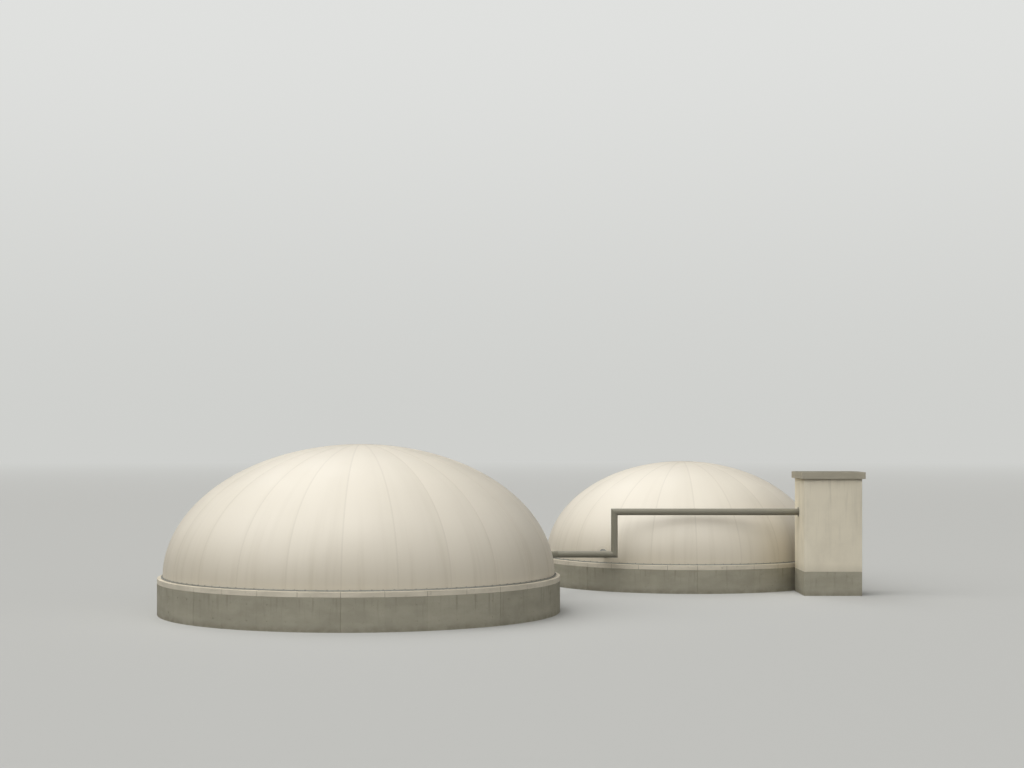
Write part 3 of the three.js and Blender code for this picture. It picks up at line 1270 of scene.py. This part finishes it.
@dataclass(frozen=True)
class DomeShape:
    """The half ellipsoid of a gas dome's cloth, and how its gores swell from it."""

    centre: Vector
    radius: float
    height: float
    gores: int
    belly: float = 0.016
    belly_start: float = 0.5
    puckers_per_gore: int = 4
    pucker: float = 0.007
    pucker_height: float = 0.16

    @classmethod
    def of(cls, tank: TankName) -> "DomeShape":
        """Reads a tank's dome from the construction model, whose top the overlaps stay under.

        Args:
            tank: The tank.

        Returns:
            The dome's shape.
        """
        low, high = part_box(f"{tank.value}_dome")
        middle = (low + high) / 2
        foot = Vector((middle.x, middle.y, low.z + CLOTH))
        return cls(foot, (high.x - low.x) / 2, high.z - foot.z - 2 * OVERLAP, GORES[tank])

    def out_of(self, spot: Vector) -> Vector:
        """Gives the way out of the dome at a place measured from its centre."""
        lengths = (self.radius, self.radius, self.height)
        return Vector([part / length**2 for part, length in zip(spot, lengths)]).normalized()

    def swell(self, spot: Vector) -> float:
        """Gives how far a gore bellies out between its welds and puckers above the rail.

        Args:
            spot: The place, measured from the dome's centre.

        Returns:
            How far the cloth stands off the ellipsoid.
        """
        share = math.atan2(spot.y, spot.x) * self.gores / math.tau % 1.0
        free = min(1.0, max(0.0, spot.z / self.belly_start))
        held_back = free * free * (3 - 2 * free)
        out = self.belly * spot.to_2d().length / self.radius * math.sin(math.pi * share) * held_back
        above_rail = spot.z / self.pucker_height
        wave = (1 - math.cos(math.tau * self.puckers_per_gore * share)) / 2
        return out + self.pucker * wave * above_rail * math.exp(1 - above_rail)

    def met_from(self, outside: Vector, heading: Vector, lift: float = 0.0) -> Vector:
        """Finds where a straight line meets the cloth.

        Args:
            outside: The line's start, outside the dome.
            heading: The way it runs.
            lift: How far over the cloth the place is wanted.

        Returns:
            The place.
        """
        shrink = Vector((1 / self.radius, 1 / self.radius, 1 / self.height))
        start = (outside - self.centre) * shrink
        step = heading * shrink
        half_b = start.dot(step)
        root = math.sqrt(half_b**2 - step.dot(step) * (start.dot(start) - 1))
        spot = outside - self.centre + heading * ((-half_b - root) / step.dot(step))
        return self.centre + spot + self.out_of(spot) * (self.swell(spot) + lift)


@dataclass
class GasDome:
    """A tank's gas dome: welded gores, their overlaps, a crown patch, and the rail that clamps its edge."""

    tank: TankName
    steps_per_gore: int = 24
    rings: int = 44
    hem_width: float = 0.085
    overlap_width: float = 0.06
    patch_radius: float = 0.85
    patch_overlap: float = 0.04
    patch_columns: int = 96
    patch_rows: int = 160
    rail_gap: float = 0.001
    rail_sheet: float = 0.006
    rail_arris: float = 0.0024
    rail_steps: int = 256
    bolt_spacing: float = 0.4
    bolt_across: float = 0.024

    def __post_init__(self) -> None:
        """Reads the dome's and the rail's sizes from the construction model."""
        self.shape = DomeShape.of(self.tank)
        low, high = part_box(f"{self.tank.value}_clamp_rail")
        self.rail_outer = (high.x - low.x) / 2
        self.rail_top = high.z
        self.axis = Vector((self.shape.centre.x, self.shape.centre.y, 0))
        sizes = (self.shape.centre, self.shape.radius, self.shape.height, self.shape.gores)
        self.open_cloth = LacqueredMembrane(f"lacquered_membrane_{self.tank.value}", *sizes)
        self.welded_cloth = WeldedOverlap(f"welded_membrane_{self.tank.value}", *sizes)

    def build(self, outlet_patch: Piece) -> None:
        """Makes the dome's cloth, overlaps and crown patch, and then the rail and its bolts.

        Args:
            outlet_patch: The patch where the pipe leaves the dome, which is welded to the cloth too.
        """
        cloth, cut_area = self.membrane()
        on_cloth = [self.overlaps(), self.crown_patch(), outlet_patch]
        self.clamp_rail()
        self.rail_bolts()

    def membrane(self) -> tuple[Piece, float]:
        """Makes the cloth: an inflated half ellipsoid of gores with a flat hem under the rail.

        Returns:
            The cloth, and the area of its cut gores.
        """
        columns = self.shape.gores * self.steps_per_gore
        bm = bmesh.new()
        bmesh.ops.create_uvsphere(bm, u_segments=columns, v_segments=2 * self.rings, radius=1.0)
        bmesh.ops.bisect_plane(bm, geom=everything(bm), plane_co=ORIGIN, plane_no=UP, clear_inner=True)
        bmesh.ops.scale(bm, verts=bm.verts, vec=(self.shape.radius, self.shape.radius, self.shape.height))
        for vert in bm.verts:
            vert.co += self.shape.out_of(vert.co) * self.shape.swell(vert.co)
        rim = [edge for edge in bm.edges if edge.is_boundary]
        hem = verts_in(bmesh.ops.extrude_edge_only(bm, edges=rim)["geom"])
        spread = 1 + self.hem_width / self.shape.radius
        bmesh.ops.scale(bm, verts=hem, vec=(spread, spread, 1))
        bmesh.ops.remove_doubles(bm, verts=bm.verts, dist=NEAR)
        faced_from(bm, -UP)
        cut_area = sum(face.calc_area() for face in bm.faces)
        bmesh.ops.solidify(bm, geom=bm.faces[:], thickness=CLOTH)
        faced_outwards(bm)
        moved(bm, self.shape.centre)
        node = f"{self.tank.value}_dome"
        cloth = finished(bm, f"{node}_membrane", self.open_cloth, [node], CLOTH_EDGE)
        return cloth, cut_area

    def overlaps(self) -> Piece:
        """Makes the welded overlap strips, one along each seam between two gores.

        Returns:
            The strips, as one piece.
        """
        lowest = math.asin(3 * OVERLAP / self.shape.height)
        highest = math.acos((self.patch_radius - self.patch_overlap) / self.shape.radius)
        bm = bmesh.new()
        start = bm.verts.new((math.cos(lowest), 0.0, math.sin(lowest)))
        climb = {"cent": ORIGIN, "axis": -ALONG_Y, "angle": highest - lowest, "steps": self.rings}
        bmesh.ops.spin(bm, geom=[start], **climb)
        bmesh.ops.scale(bm, verts=bm.verts, vec=(self.shape.radius, 1.0, self.shape.height))
        bmesh.ops.translate(bm, verts=bm.verts, vec=-ALONG_Y * self.overlap_width / 2)
        far_side = verts_in(bmesh.ops.extrude_edge_only(bm, edges=bm.edges[:])["geom"])
        bmesh.ops.translate(bm, verts=far_side, vec=ALONG_Y * self.overlap_width)
        faced_from(bm, ORIGIN)
        bmesh.ops.solidify(bm, geom=bm.faces[:], thickness=-OVERLAP)
        faced_outwards(bm)
        repeated_round(bm, self.shape.gores)
        moved(bm, self.shape.centre)
        return finished(bm, f"{self.tank.value}_dome_welds", self.welded_cloth)

    def crown_patch(self) -> Piece:
        """Makes the round patch that covers the gores' points.

        Returns:
            The patch.
        """
        shape = self.shape
        cut = UP * math.sqrt(1 - (self.patch_radius / shape.radius) ** 2)
        bm = bmesh.new()
        bmesh.ops.create_uvsphere(bm, u_segments=self.patch_columns, v_segments=self.patch_rows, radius=1.0)
        bmesh.ops.bisect_plane(bm, geom=everything(bm), plane_co=cut, plane_no=UP, clear_inner=True)
        bmesh.ops.scale(bm, verts=bm.verts, vec=(shape.radius, shape.radius, shape.height))
        bmesh.ops.translate(bm, verts=bm.verts, vec=UP * 1.5 * OVERLAP)
        faced_from(bm, ORIGIN)
        bmesh.ops.solidify(bm, geom=bm.faces[:], thickness=2 * OVERLAP)
        faced_outwards(bm)
        moved(bm, shape.centre)
        return finished(bm, f"{self.tank.value}_dome_crown_patch", self.welded_cloth)

    def clamp_rail(self) -> None:
        """Makes the folded channel that holds the cloth's hem down on the coping."""
        inner, outer = self.shape.radius + self.rail_gap, self.rail_outer
        bottom, top, sheet = self.shape.centre.z, self.rail_top, self.rail_sheet
        outline = [
            (inner, bottom),
            (inner + sheet, bottom),
            (inner + sheet, top - sheet),
            (outer - sheet, top - sheet),
            (outer - sheet, bottom),
            (outer, bottom),
            (outer, top),
            (inner, top),
        ]
        bm = bmesh.new()
        turned_ring(bm, outline, self.rail_steps)
        bevelled(bm, sharp_edges(bm), self.rail_arris, segments=1)
        moved(bm, self.axis)
        node = f"{self.tank.value}_clamp_rail"
        finished(bm, f"{node}_channel", SHEET_ZINC, [node])

    def rail_bolts(self) -> None:
        """Makes the bolts along the rail, each on its washer."""
        middle = (self.shape.radius + self.rail_outer) / 2
        bm = bmesh.new()
        hex_bolt(bm, self.bolt_across)
        moved(bm, Vector((middle, 0, self.rail_top)))
        repeated_round(bm, round(math.tau * middle / self.bolt_spacing))
        moved(bm, self.axis)
        finished(bm, f"{self.tank.value}_clamp_rail_bolts", BOLT_ZINC)


# The gas pipe


@dataclass
class PipeOutlet:
    """Where a pipe leaves a dome: a sleeve, a ring that's bolted down on the cloth, and a patch under it."""

    dome: GasDome
    pipe_start: Vector
    outwards: Vector
    pipe_radius: float
    fit: float = 0.0005
    clear_of_dome: float = 2.0
    arris: float = 0.002
    sleeve_wall: float = 0.012
    sleeve_length: float = 0.11
    sunk: float = 0.14
    band_height: float = 0.006
    band_width: float = 0.022
    ring_width: float = 0.037
    ring_thickness: float = 0.012
    bolt_across: float = 0.019
    bolts: int = 8
    patch_width: float = 0.16
    patch_thickness: float = 0.006
    rail_gap: float = 0.01
    sides: int = 64
    ring_steps: int = 6

    def __post_init__(self) -> None:
        """Finds where the pipe comes out of the dome."""
        self.far_out = self.pipe_start + self.outwards * self.clear_of_dome
        self.exit = self.dome.shape.met_from(self.far_out, -self.outwards)
        self.sleeve_radius = self.pipe_radius + self.sleeve_wall
        self.name = f"{self.dome.tank.value}_dome_collar"

    def build(self) -> Piece:
        """Makes the sleeve, the clamping ring with its bolts, and the patch.

        Returns:
            The patch.
        """
        self.sleeve()
        inner = self.sleeve_radius + 2 * self.fit
        lift = OVERLAP + self.patch_thickness
        ring = self.on_cloth(inner, self.ring_width, lift, self.ring_thickness)
        bevelled(ring, sharp_edges(ring), self.arris, segments=1)
        finished(ring, f"{self.name}_ring", SHEET_ZINC)
        self.ring_bolts(inner + self.ring_width / 2, lift + self.ring_thickness)
        patch = self.on_cloth(inner, self.patch_width, OVERLAP, self.patch_thickness)
        return finished(patch, f"{self.name}_patch", self.dome.welded_cloth)

    def sleeve(self) -> None:
        """Makes the steel sleeve with the band that presses its seal on the pipe."""
        inner = self.pipe_radius + self.fit
        outer = self.sleeve_radius
        end = self.sleeve_length
        band_end = end - self.band_width / 2
        band_start = band_end - self.band_width
        outline = [
            (inner, -self.sunk),
            (outer, -self.sunk),
            (outer, band_start),
            (outer + self.band_height, band_start),
            (outer + self.band_height, band_end),
            (outer, band_end),
            (outer, end),
            (inner, end),
        ]
        bm = bmesh.new()
        turned_ring(bm, outline, self.sides)
        bevelled(bm, sharp_edges(bm), self.arris, segments=1)
        stood_on(bm, self.exit, self.outwards)
        finished(bm, f"{self.name}_sleeve", SHEET_ZINC, [self.name])

    def on_cloth(self, inner: float, width: float, lift: float, thickness: float) -> BMesh:
        """Makes a ring that lies on the cloth and is round as seen along the pipe.

        Args:
            inner: The radius of its hole.
            width: How wide it is.
            lift: How far over the cloth its underside lies.
            thickness: How thick it is.

        Returns:
            The ring's mesh, in its place.
        """
        radii = [inner + width * step / self.ring_steps for step in range(self.ring_steps + 1)]
        bm = bmesh.new()
        line = [bm.verts.new((radius, 0, 0)) for radius in radii]
        spokes = [bm.edges.new(pair) for pair in zip(line, line[1:])]
        spun(bm, line + spokes, math.tau, self.sides, closed=True)
        stood_on(bm, self.far_out, self.outwards)
        for vert in bm.verts:
            vert.co = self.dome.shape.met_from(vert.co, -self.outwards, lift)
        over_rail = UP * (self.dome.rail_top + self.rail_gap)
        bmesh.ops.bisect_plane(bm, geom=everything(bm), plane_co=over_rail, plane_no=UP, clear_inner=True)
        faced_from(bm, self.dome.shape.centre)
        bmesh.ops.solidify(bm, geom=bm.faces[:], thickness=-thickness)
        faced_outwards(bm)
        return bm

    def ring_bolts(self, middle: float, lift: float) -> None:
        """Makes the small bolts of the clamping ring.

        Args:
            middle: Their distance from the pipe's axis.
            lift: How far over the cloth their washers lie.
        """
        beside_pipe = self.outwards.to_track_quat("Z", "Y")
        bm = bmesh.new()
        for number in range(self.bolts):
            turn = math.tau * (number + 0.5) / self.bolts
            beside = beside_pipe @ Vector((math.cos(turn), math.sin(turn), 0)) * middle
            seat = self.dome.shape.met_from(self.far_out + beside, -self.outwards, lift)
            way = self.dome.shape.out_of(seat - self.dome.shape.centre)
            stood_on(bm, seat, way, hex_bolt(bm, self.bolt_across))
        finished(bm, f"{self.name}_bolts", BOLT_ZINC)


@dataclass(frozen=True)
class PipeLength:
    """One straight length of pipe. An end without a cut is square."""

    node: str
    lay: Lay
    start: Vector
    end: Vector
    radius: float
    start_cut: Vector | None = None
    end_cut: Vector | None = None

    def build(self, sides: int) -> None:
        """Makes the length, each end square or slid to its mitre.

        Args:
            sides: How many sides stand for its round.
        """
        axis = (self.end - self.start).normalized()
        middle = (self.start + self.end) / 2
        bm = bmesh.new()
        bar(bm, sides, self.radius, 0.0, (self.end - self.start).length)
        stood_on(bm, self.start, axis)
        first = [vert for vert in bm.verts if (vert.co - middle).dot(axis) < 0]
        last = [vert for vert in bm.verts if (vert.co - middle).dot(axis) > 0]
        slid_to_plane(first, axis, self.start, self.start_cut or axis)
        slid_to_plane(last, axis, self.end, self.end_cut or axis)
        paint = BrushedPaint(f"brushed_alkyd_paint_{self.lay.name.lower()}", self.lay)
        finished(bm, f"{self.node}_painted", paint, [self.node])


@dataclass
class GasPipe:
    """The gas pipe: welded straight lengths with mitred corners, from the main dome to the cabin."""

    domes: Mapping[TankName, GasDome]
    sides: int = 56
    delivery_length: float = 6.0
    bead_radius: float = 0.007
    bead_sides: int = 8
    fit: float = 0.0005
    flange_sides: int = 64
    flange_arris: float = 0.003
    flange_bolts: int = 8
    flange_bolt_across: float = 0.024

    def __post_init__(self) -> None:
        """Reads the route from the construction model."""
        lower_low, lower_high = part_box("pipe_lower_run")
        upper_low, upper_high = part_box("pipe_upper_run")
        riser_low, riser_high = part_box("pipe_riser")
        branch_low, branch_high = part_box("pipe_second_dome_branch")
        leg_low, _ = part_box("pipe_main_dome_leg")
        line_y = (upper_low.y + upper_high.y) / 2
        low_z = (lower_low.z + lower_high.z) / 2
        high_z = (upper_low.z + upper_high.z) / 2
        riser_x = (riser_low.x + riser_high.x) / 2
        branch_x = (branch_low.x + branch_high.x) / 2
        self.radius = (upper_high.z - upper_low.z) / 2
        self.branch_radius = (branch_high.x - branch_low.x) / 2
        # The leg comes straight from the main tank's axis. Its box starts at its first end's left edge.
        self.leg_axis = LAY_AXIS[Lay.DIAGONAL]
        self.leg_start = Vector((leg_low.x, leg_low.x, low_z)) + self.leg_axis * self.radius
        self.bend = Vector((line_y, line_y, low_z))
        self.riser_foot = Vector((riser_x, line_y, low_z))
        self.riser_head = Vector((riser_x, line_y, high_z))
        self.cabin_end = Vector((upper_high.x, line_y, high_z))
        self.branch_start = Vector((branch_x, branch_high.y, low_z))
        self.branch_end = Vector((branch_x, line_y, low_z))
        self.bend_cut = (self.leg_axis + ALONG_X).normalized()
        self.riser_cut = (ALONG_X + UP).normalized()
        self.paint = BrushedPaint("brushed_alkyd_paint_along")

    def build(self) -> dict[TankName, Piece]:
        """Makes the pipe's lengths, its weld beads, its flange and its outlets from the domes.

        Returns:
            The membrane patch at each tank's outlet.
        """
        for length in self.lengths():
            length.build(self.sides)
        self.weld_beads()
        self.cabin_flange()
        main = PipeOutlet(self.domes[TankName.MAIN], self.leg_start, self.leg_axis, self.radius)
        second = PipeOutlet(self.domes[TankName.SECOND], self.branch_start, -ALONG_Y, self.branch_radius)
        return {TankName.MAIN: main.build(), TankName.SECOND: second.build()}

    def lengths(self) -> list[PipeLength]:
        """Lists the straight lengths.

        Returns:
            The lengths, from the main dome to the cabin, and then the branch.
        """
        r = self.radius
        bend, foot, head = self.bend, self.riser_foot, self.riser_head
        branch = (self.branch_start, self.branch_end, self.branch_radius)
        return [
            PipeLength("pipe_main_dome_leg", Lay.DIAGONAL, self.leg_start, bend, r, None, self.bend_cut),
            PipeLength("pipe_lower_run", Lay.ALONG, bend, foot, r, self.bend_cut, self.riser_cut),
            PipeLength("pipe_riser", Lay.UPRIGHT, foot, head, r, self.riser_cut, self.riser_cut),
            PipeLength("pipe_upper_run", Lay.ALONG, head, self.cabin_end, r, self.riser_cut),
            PipeLength("pipe_second_dome_branch", Lay.ACROSS, *branch),
        ]

    def bead(self, bm: BMesh, corner: Vector, cut: Vector) -> None:
        """Adds a weld bead round the pipe where it runs along the plant.

        Args:
            bm: The mesh that gets it.
            corner: The middle of the joint, on the pipe's axis.
            cut: The joint plane's normal.
        """
        others = set(bm.verts)
        bmesh.ops.create_circle(bm, segments=self.bead_sides, radius=self.bead_radius)
        section = [vert for vert in bm.verts if vert not in others]
        upright = Matrix.Rotation(math.pi / 2, 3, "X")
        bmesh.ops.rotate(bm, verts=section, cent=ORIGIN, matrix=upright)
        bmesh.ops.translate(bm, verts=section, vec=ALONG_X * self.radius)
        outline = [edge for edge in bm.edges if edge.verts[0] not in others]
        spun(bm, section + outline, math.tau, self.sides, closed=True)
        ring = [vert for vert in bm.verts if vert not in others]
        stood_on(bm, corner, ALONG_X, ring)
        for vert in ring:
            beside = vert.co - corner
            beside.x = 0
            vert.co.x -= beside.dot(cut) / cut.x

    def weld_beads(self) -> None:
        """Makes the beads at the mitres and at the butt joint of the upper run's two pipes."""
        bm = bmesh.new()
        self.bead(bm, self.bend, self.bend_cut)
        self.bead(bm, self.riser_foot, self.riser_cut)
        self.bead(bm, self.riser_head, self.riser_cut)
        self.bead(bm, self.riser_head + ALONG_X * self.delivery_length, ALONG_X)
        faced_outwards(bm)
        finished(bm, "pipe_weld_beads", self.paint, sharp_from=CLOTH_EDGE)

    def cabin_flange(self) -> None:
        """Makes the plate and bolts that close the pipe's hole in the cabin wall."""
        low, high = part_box("pipe_cabin_flange")
        thickness = high.x - low.x
        outer = (high.z - low.z) / 2
        inner = self.radius + self.fit
        seat = Vector((high.x, self.riser_head.y, self.riser_head.z))
        bm = bmesh.new()
        outline = [(inner, 0.0), (outer, 0.0), (outer, thickness), (inner, thickness)]
        turned_ring(bm, outline, self.flange_sides)
        bevelled(bm, sharp_edges(bm), self.flange_arris)
        stood_on(bm, seat, -ALONG_X)
        finished(bm, "pipe_cabin_flange_plate", self.paint, ["pipe_cabin_flange"])
        bolts = bmesh.new()
        hex_bolt(bolts, self.flange_bolt_across)
        moved(bolts, Vector(((outer + self.radius) / 2, 0, thickness)))
        repeated_round(bolts, self.flange_bolts)
        stood_on(bolts, seat, -ALONG_X)
        finished(bolts, "pipe_cabin_flange_bolts", BOLT_ZINC)


# The cabin


@dataclass
class Cabin:
    """The service cabin: a concrete base, rendered walls and an overhanging flat roof."""

    wall: float = 0.2
    base_arris: float = 0.02
    render_arris: float = 0.012
    roof_arris: float = 0.012
    drip_inset: float = 0.05
    drip_width: float = 0.02
    drip_depth: float = 0.012
    drip_taper: float = 0.005
    felt: float = 0.006
    felt_arris: float = 0.002
    felt_margin: float = 0.05
    felt_strips: int = 3
    felt_lap: float = 0.09

    def build(self) -> None:
        """Makes the base, the walls and the roof."""
        self.base()
        self.walls()
        self.roof()

    def base(self) -> None:
        """Makes the concrete base block."""
        low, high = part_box("cabin_base")
        bm = bmesh.new()
        block(bm, low, high)
        exposed = [edge for edge in bm.edges if max(vert.co.z for vert in edge.verts) > low.z + NEAR]
        bevelled(bm, exposed, self.base_arris, segments=1)
        concrete = CastConcrete(
            "cast_concrete_base",
            centre=Vector((low.x, low.y, 0)),
            radius=1.0,
            height=high.z,
            form_width=(high.x - low.x) / 2,
            wrap=Wrap.STRAIGHT,
        )
        finished(bm, "cabin_base_cast", concrete, ["cabin_base"])

    def walls(self) -> None:
        """Makes the four rendered walls as one hollow shaft, open at both ends."""
        low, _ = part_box("cabin_front_wall")
        _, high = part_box("cabin_back_wall")
        bm = bmesh.new()
        block(bm, low, high)
        ends = [face for face in bm.faces if abs(face.normal.z) > FACING]
        bmesh.ops.delete(bm, geom=ends, context="FACES")
        bmesh.ops.solidify(bm, geom=bm.faces[:], thickness=self.wall)
        faced_outwards(bm)
        outer_corners = [
            edge
            for edge in sharp_edges(bm)
            if rise_of(edge) > self.wall
            and min(abs(edge.verts[0].co.x - side) for side in (low.x, high.x)) < NEAR
        ]
        bevelled(bm, outer_corners, self.render_arris, segments=3)
        coat = MineralRender("floated_mineral_render", foot=low.z, top=high.z)
        nodes = [f"cabin_{side}_wall" for side in ("front", "back", "left", "right")]
        finished(bm, "cabin_rendered_walls", coat, nodes)

    def roof(self) -> None:
        """Makes the roof slab with its drip groove, and the felt on it."""
        low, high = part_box("cabin_roof_slab")
        slab_top = high.z - 2 * self.felt
        bm = bmesh.new()
        block(bm, low, Vector((high.x, high.y, slab_top)))
        arrises = bm.edges[:]
        under = [face for face in bm.faces if face.normal.z < -FACING]
        bmesh.ops.inset_region(bm, faces=under, thickness=self.drip_inset)
        groove = bmesh.ops.inset_region(bm, faces=under, thickness=self.drip_width)["faces"]
        bmesh.ops.inset_region(bm, faces=groove, thickness=self.drip_taper, depth=-self.drip_depth)
        bevelled(bm, arrises, self.roof_arris)
        slab = TrowelledConcrete("trowelled_roof_concrete", face="#b6af9c", stain="#8b8573")
        finished(bm, "cabin_roof_slab_cast", slab, ["cabin_roof_slab"])
        self.roof_felt(low, high, slab_top)

    def roof_felt(self, low: Vector, high: Vector, slab_top: float) -> None:
        """Lays the felt strips, every other one over the edges of its neighbours.

        Args:
            low: The roof's lowest corner.
            high: The roof's highest corner.
            slab_top: The slab's upper face.
        """
        covered = high.y - low.y - 2 * self.felt_margin
        depth = (covered + (self.felt_strips - 1) * self.felt_lap) / self.felt_strips
        bm = bmesh.new()
        for number in range(self.felt_strips):
            near = low.y + self.felt_margin + number * (depth - self.felt_lap)
            bottom = slab_top + number % 2 * self.felt
            first = Vector((low.x + self.felt_margin, near, bottom))
            last = Vector((high.x - self.felt_margin, near + depth, bottom + self.felt))
            block(bm, first, last)
        bevelled(bm, sharp_edges(bm), self.felt_arris, segments=1)
        finished(bm, "cabin_roof_felt", MineralFelt("granulated_roofing_felt"))


# The studio


@dataclass(frozen=True)
class SoftLight:
    """A far light with soft edges.

    Its strength is how bright a white surface that faces it becomes, and its spread the angle, in degrees,
    that it seems to cover.
    """

    name: str
    towards: tuple[float, float, float]
    strength: float
    spread: float = 80.0

    def build(self) -> None:
        """Hangs the light."""
        light = placed(self.name, bpy.data.lights.new(self.name, "SUN"))
        light.data.energy = self.strength * math.pi
        light.data.angle = math.radians(self.spread)
        light.rotation_euler = Vector(self.towards).to_track_quat("Z", "Y").to_euler()


@dataclass
class Studio:
    """A plain pale floor that runs out into a pale backdrop, soft light and the camera."""

    lights: tuple[SoftLight, ...] = (
        SoftLight("key_light", (-0.48, -0.34, 0.81), 0.75),
        SoftLight("fill_light", (0.66, -0.72, 0.2), 0.33),
        SoftLight("sheen_light", (-0.21, 0.59, 0.78), 0.19, 35.0),
    )
    floor_radius: float = 900.0
    floor_sides: int = 128
    fade_start: float = 90.0
    fade_end: float = 603.0
    backdrop_sides: int = 96
    backdrop_rows: int = 48
    zenith_height: float = 270.0
    floor_colour: str = "#c6c6c2"
    horizon_colour: str = "#cfd0cd"
    zenith_colour: str = "#e0e1df"
    sky_light: float = 0.1
    sky_rise: float = 0.5
    ground_light: float = 0.08
    ground_rise: float = -0.3
    eye: tuple[float, float, float] = (6.076, -68.0, 6.69)
    film_width: float = 36.0
    picture_width: int = 1024
    # A metre that is a metre away covers this many of the picture's pixels.
    pixels_at_one_metre: float = 1694.0
    horizon_row: int = 444
    middle_row: int = 384

    def build(self) -> None:
        """Makes the camera, the lights, the floor and the backdrop."""
        self.camera()
        for light in self.lights:
            light.build()
        self.surroundings()
        self.floor()
        self.backdrop()

    def camera(self) -> None:
        """Stands the camera level with the main dome's top, looking along +Y."""
        camera = placed("camera", bpy.data.cameras.new("camera"))
        camera.data.sensor_width = self.film_width
        camera.data.lens = self.pixels_at_one_metre / self.picture_width * self.film_width
        camera.data.shift_y = (self.horizon_row - self.middle_row) / self.picture_width
        camera.data.clip_end = 3 * self.floor_radius
        camera.location = self.eye
        camera.rotation_euler = (math.pi / 2, 0, 0)
        bpy.context.scene.camera = camera
        # The picture's colours are plain ones, with no film curve over them.
        bpy.context.scene.view_settings.view_transform = "Standard"

    def surroundings(self) -> None:
        """Lights the model faintly from all round, a little more from above."""
        world = bpy.data.worlds.new("studio")
        bpy.context.scene.world = world
        world.use_nodes = True
        tree = world.node_tree
        way = add_node(tree, "ShaderNodeTexCoord").outputs["Generated"]
        rise = add_node(tree, "ShaderNodeSeparateXYZ", {"Vector": way}).outputs["Z"]
        strength = eased(rise, self.ground_rise, self.sky_rise, self.ground_light, self.sky_light)
        shade = add_node(tree, "ShaderNodeMapRange", strength)
        feed(tree, tree.nodes["Background"], {"Color": linear("#ffffff"), "Strength": shade})

    def staged(self, bm: BMesh, name: str) -> tuple[Piece, Tree]:
        """Turns a mesh into a piece of the studio with a material of its own.

        It throws no light on the model, so that the model's shaded sides stay darker than the floor.

        Args:
            bm: The mesh. It is used up.
            name: The piece's name.

        Returns:
            The piece and its material's node tree.
        """
        material = bpy.data.materials.new(f"{name}_paint")
        material.use_nodes = True
        piece = meshed(bm, name, material)
        piece.visible_diffuse = False
        log.info("%s: staged", name)
        return piece, material.node_tree

    def floor(self) -> None:
        """Lays the floor, which takes on the backdrop's colour far out."""
        bm = bmesh.new()
        bmesh.ops.create_circle(bm, cap_ends=True, segments=self.floor_sides, radius=self.floor_radius)
        _, tree = self.staged(bm, "studio_floor")
        surface = tree.nodes["Principled BSDF"]
        paint = {"Base Color": linear(self.floor_colour), "Roughness": 0.9, "Specular IOR Level": 0.1}
        feed(tree, surface, paint)
        here = add_node(tree, "ShaderNodeTexCoord").outputs["Object"]
        away = add_node(tree, "ShaderNodeVectorMath", {"operation": "LENGTH", 0: here})
        far = add_node(tree, "ShaderNodeMapRange", eased(away, self.fade_start, self.fade_end, 0.0, 1.0))
        glow = add_node(tree, "ShaderNodeEmission", {"Color": linear(self.horizon_colour)})
        blend = add_node(tree, "ShaderNodeMixShader", {0: far, 1: surface, 2: glow})
        feed(tree, tree.nodes["Material Output"], {"Surface": blend})

    def backdrop(self) -> None:
        """Hangs the backdrop all round, seen by the camera alone."""
        bm = bmesh.new()
        mesh = {"u_segments": self.backdrop_sides, "v_segments": self.backdrop_rows}
        bmesh.ops.create_uvsphere(bm, radius=self.floor_radius, **mesh)
        bmesh.ops.reverse_faces(bm, faces=bm.faces)
        piece, tree = self.staged(bm, "studio_backdrop")
        for kind_of_ray in ("glossy", "transmission", "volume_scatter", "shadow"):
            setattr(piece, f"visible_{kind_of_ray}", False)
        tree.nodes.remove(tree.nodes["Principled BSDF"])
        here = add_node(tree, "ShaderNodeTexCoord").outputs["Object"]
        height = add_node(tree, "ShaderNodeSeparateXYZ", {"Vector": here}).outputs["Z"]
        rise = add_node(tree, "ShaderNodeMapRange", eased(height, 0.0, self.zenith_height, 0.0, 1.0))
        colour = layered(tree, self.horizon_colour, (self.zenith_colour, rise))
        glow = add_node(tree, "ShaderNodeEmission", {"Color": colour})
        feed(tree, tree.nodes["Material Output"], {"Surface": glow})


def write_sizes() -> None:
    """Brings the scene's places up to date."""
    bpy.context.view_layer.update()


def main() -> None:
    """Builds the studio and every part of the digester."""
    logging.basicConfig(level=logging.INFO, format="%(name)s: %(message)s")
    Studio().build()
    domes = {tank: GasDome(tank) for tank in TankName}
    outlet_patches = GasPipe(domes).build()
    for tank, dome in domes.items():
        TankWall(tank).build()
        dome.build(outlet_patches[tank])
    Cabin().build()
    write_sizes()


if __name__ == "__main__":
    main()
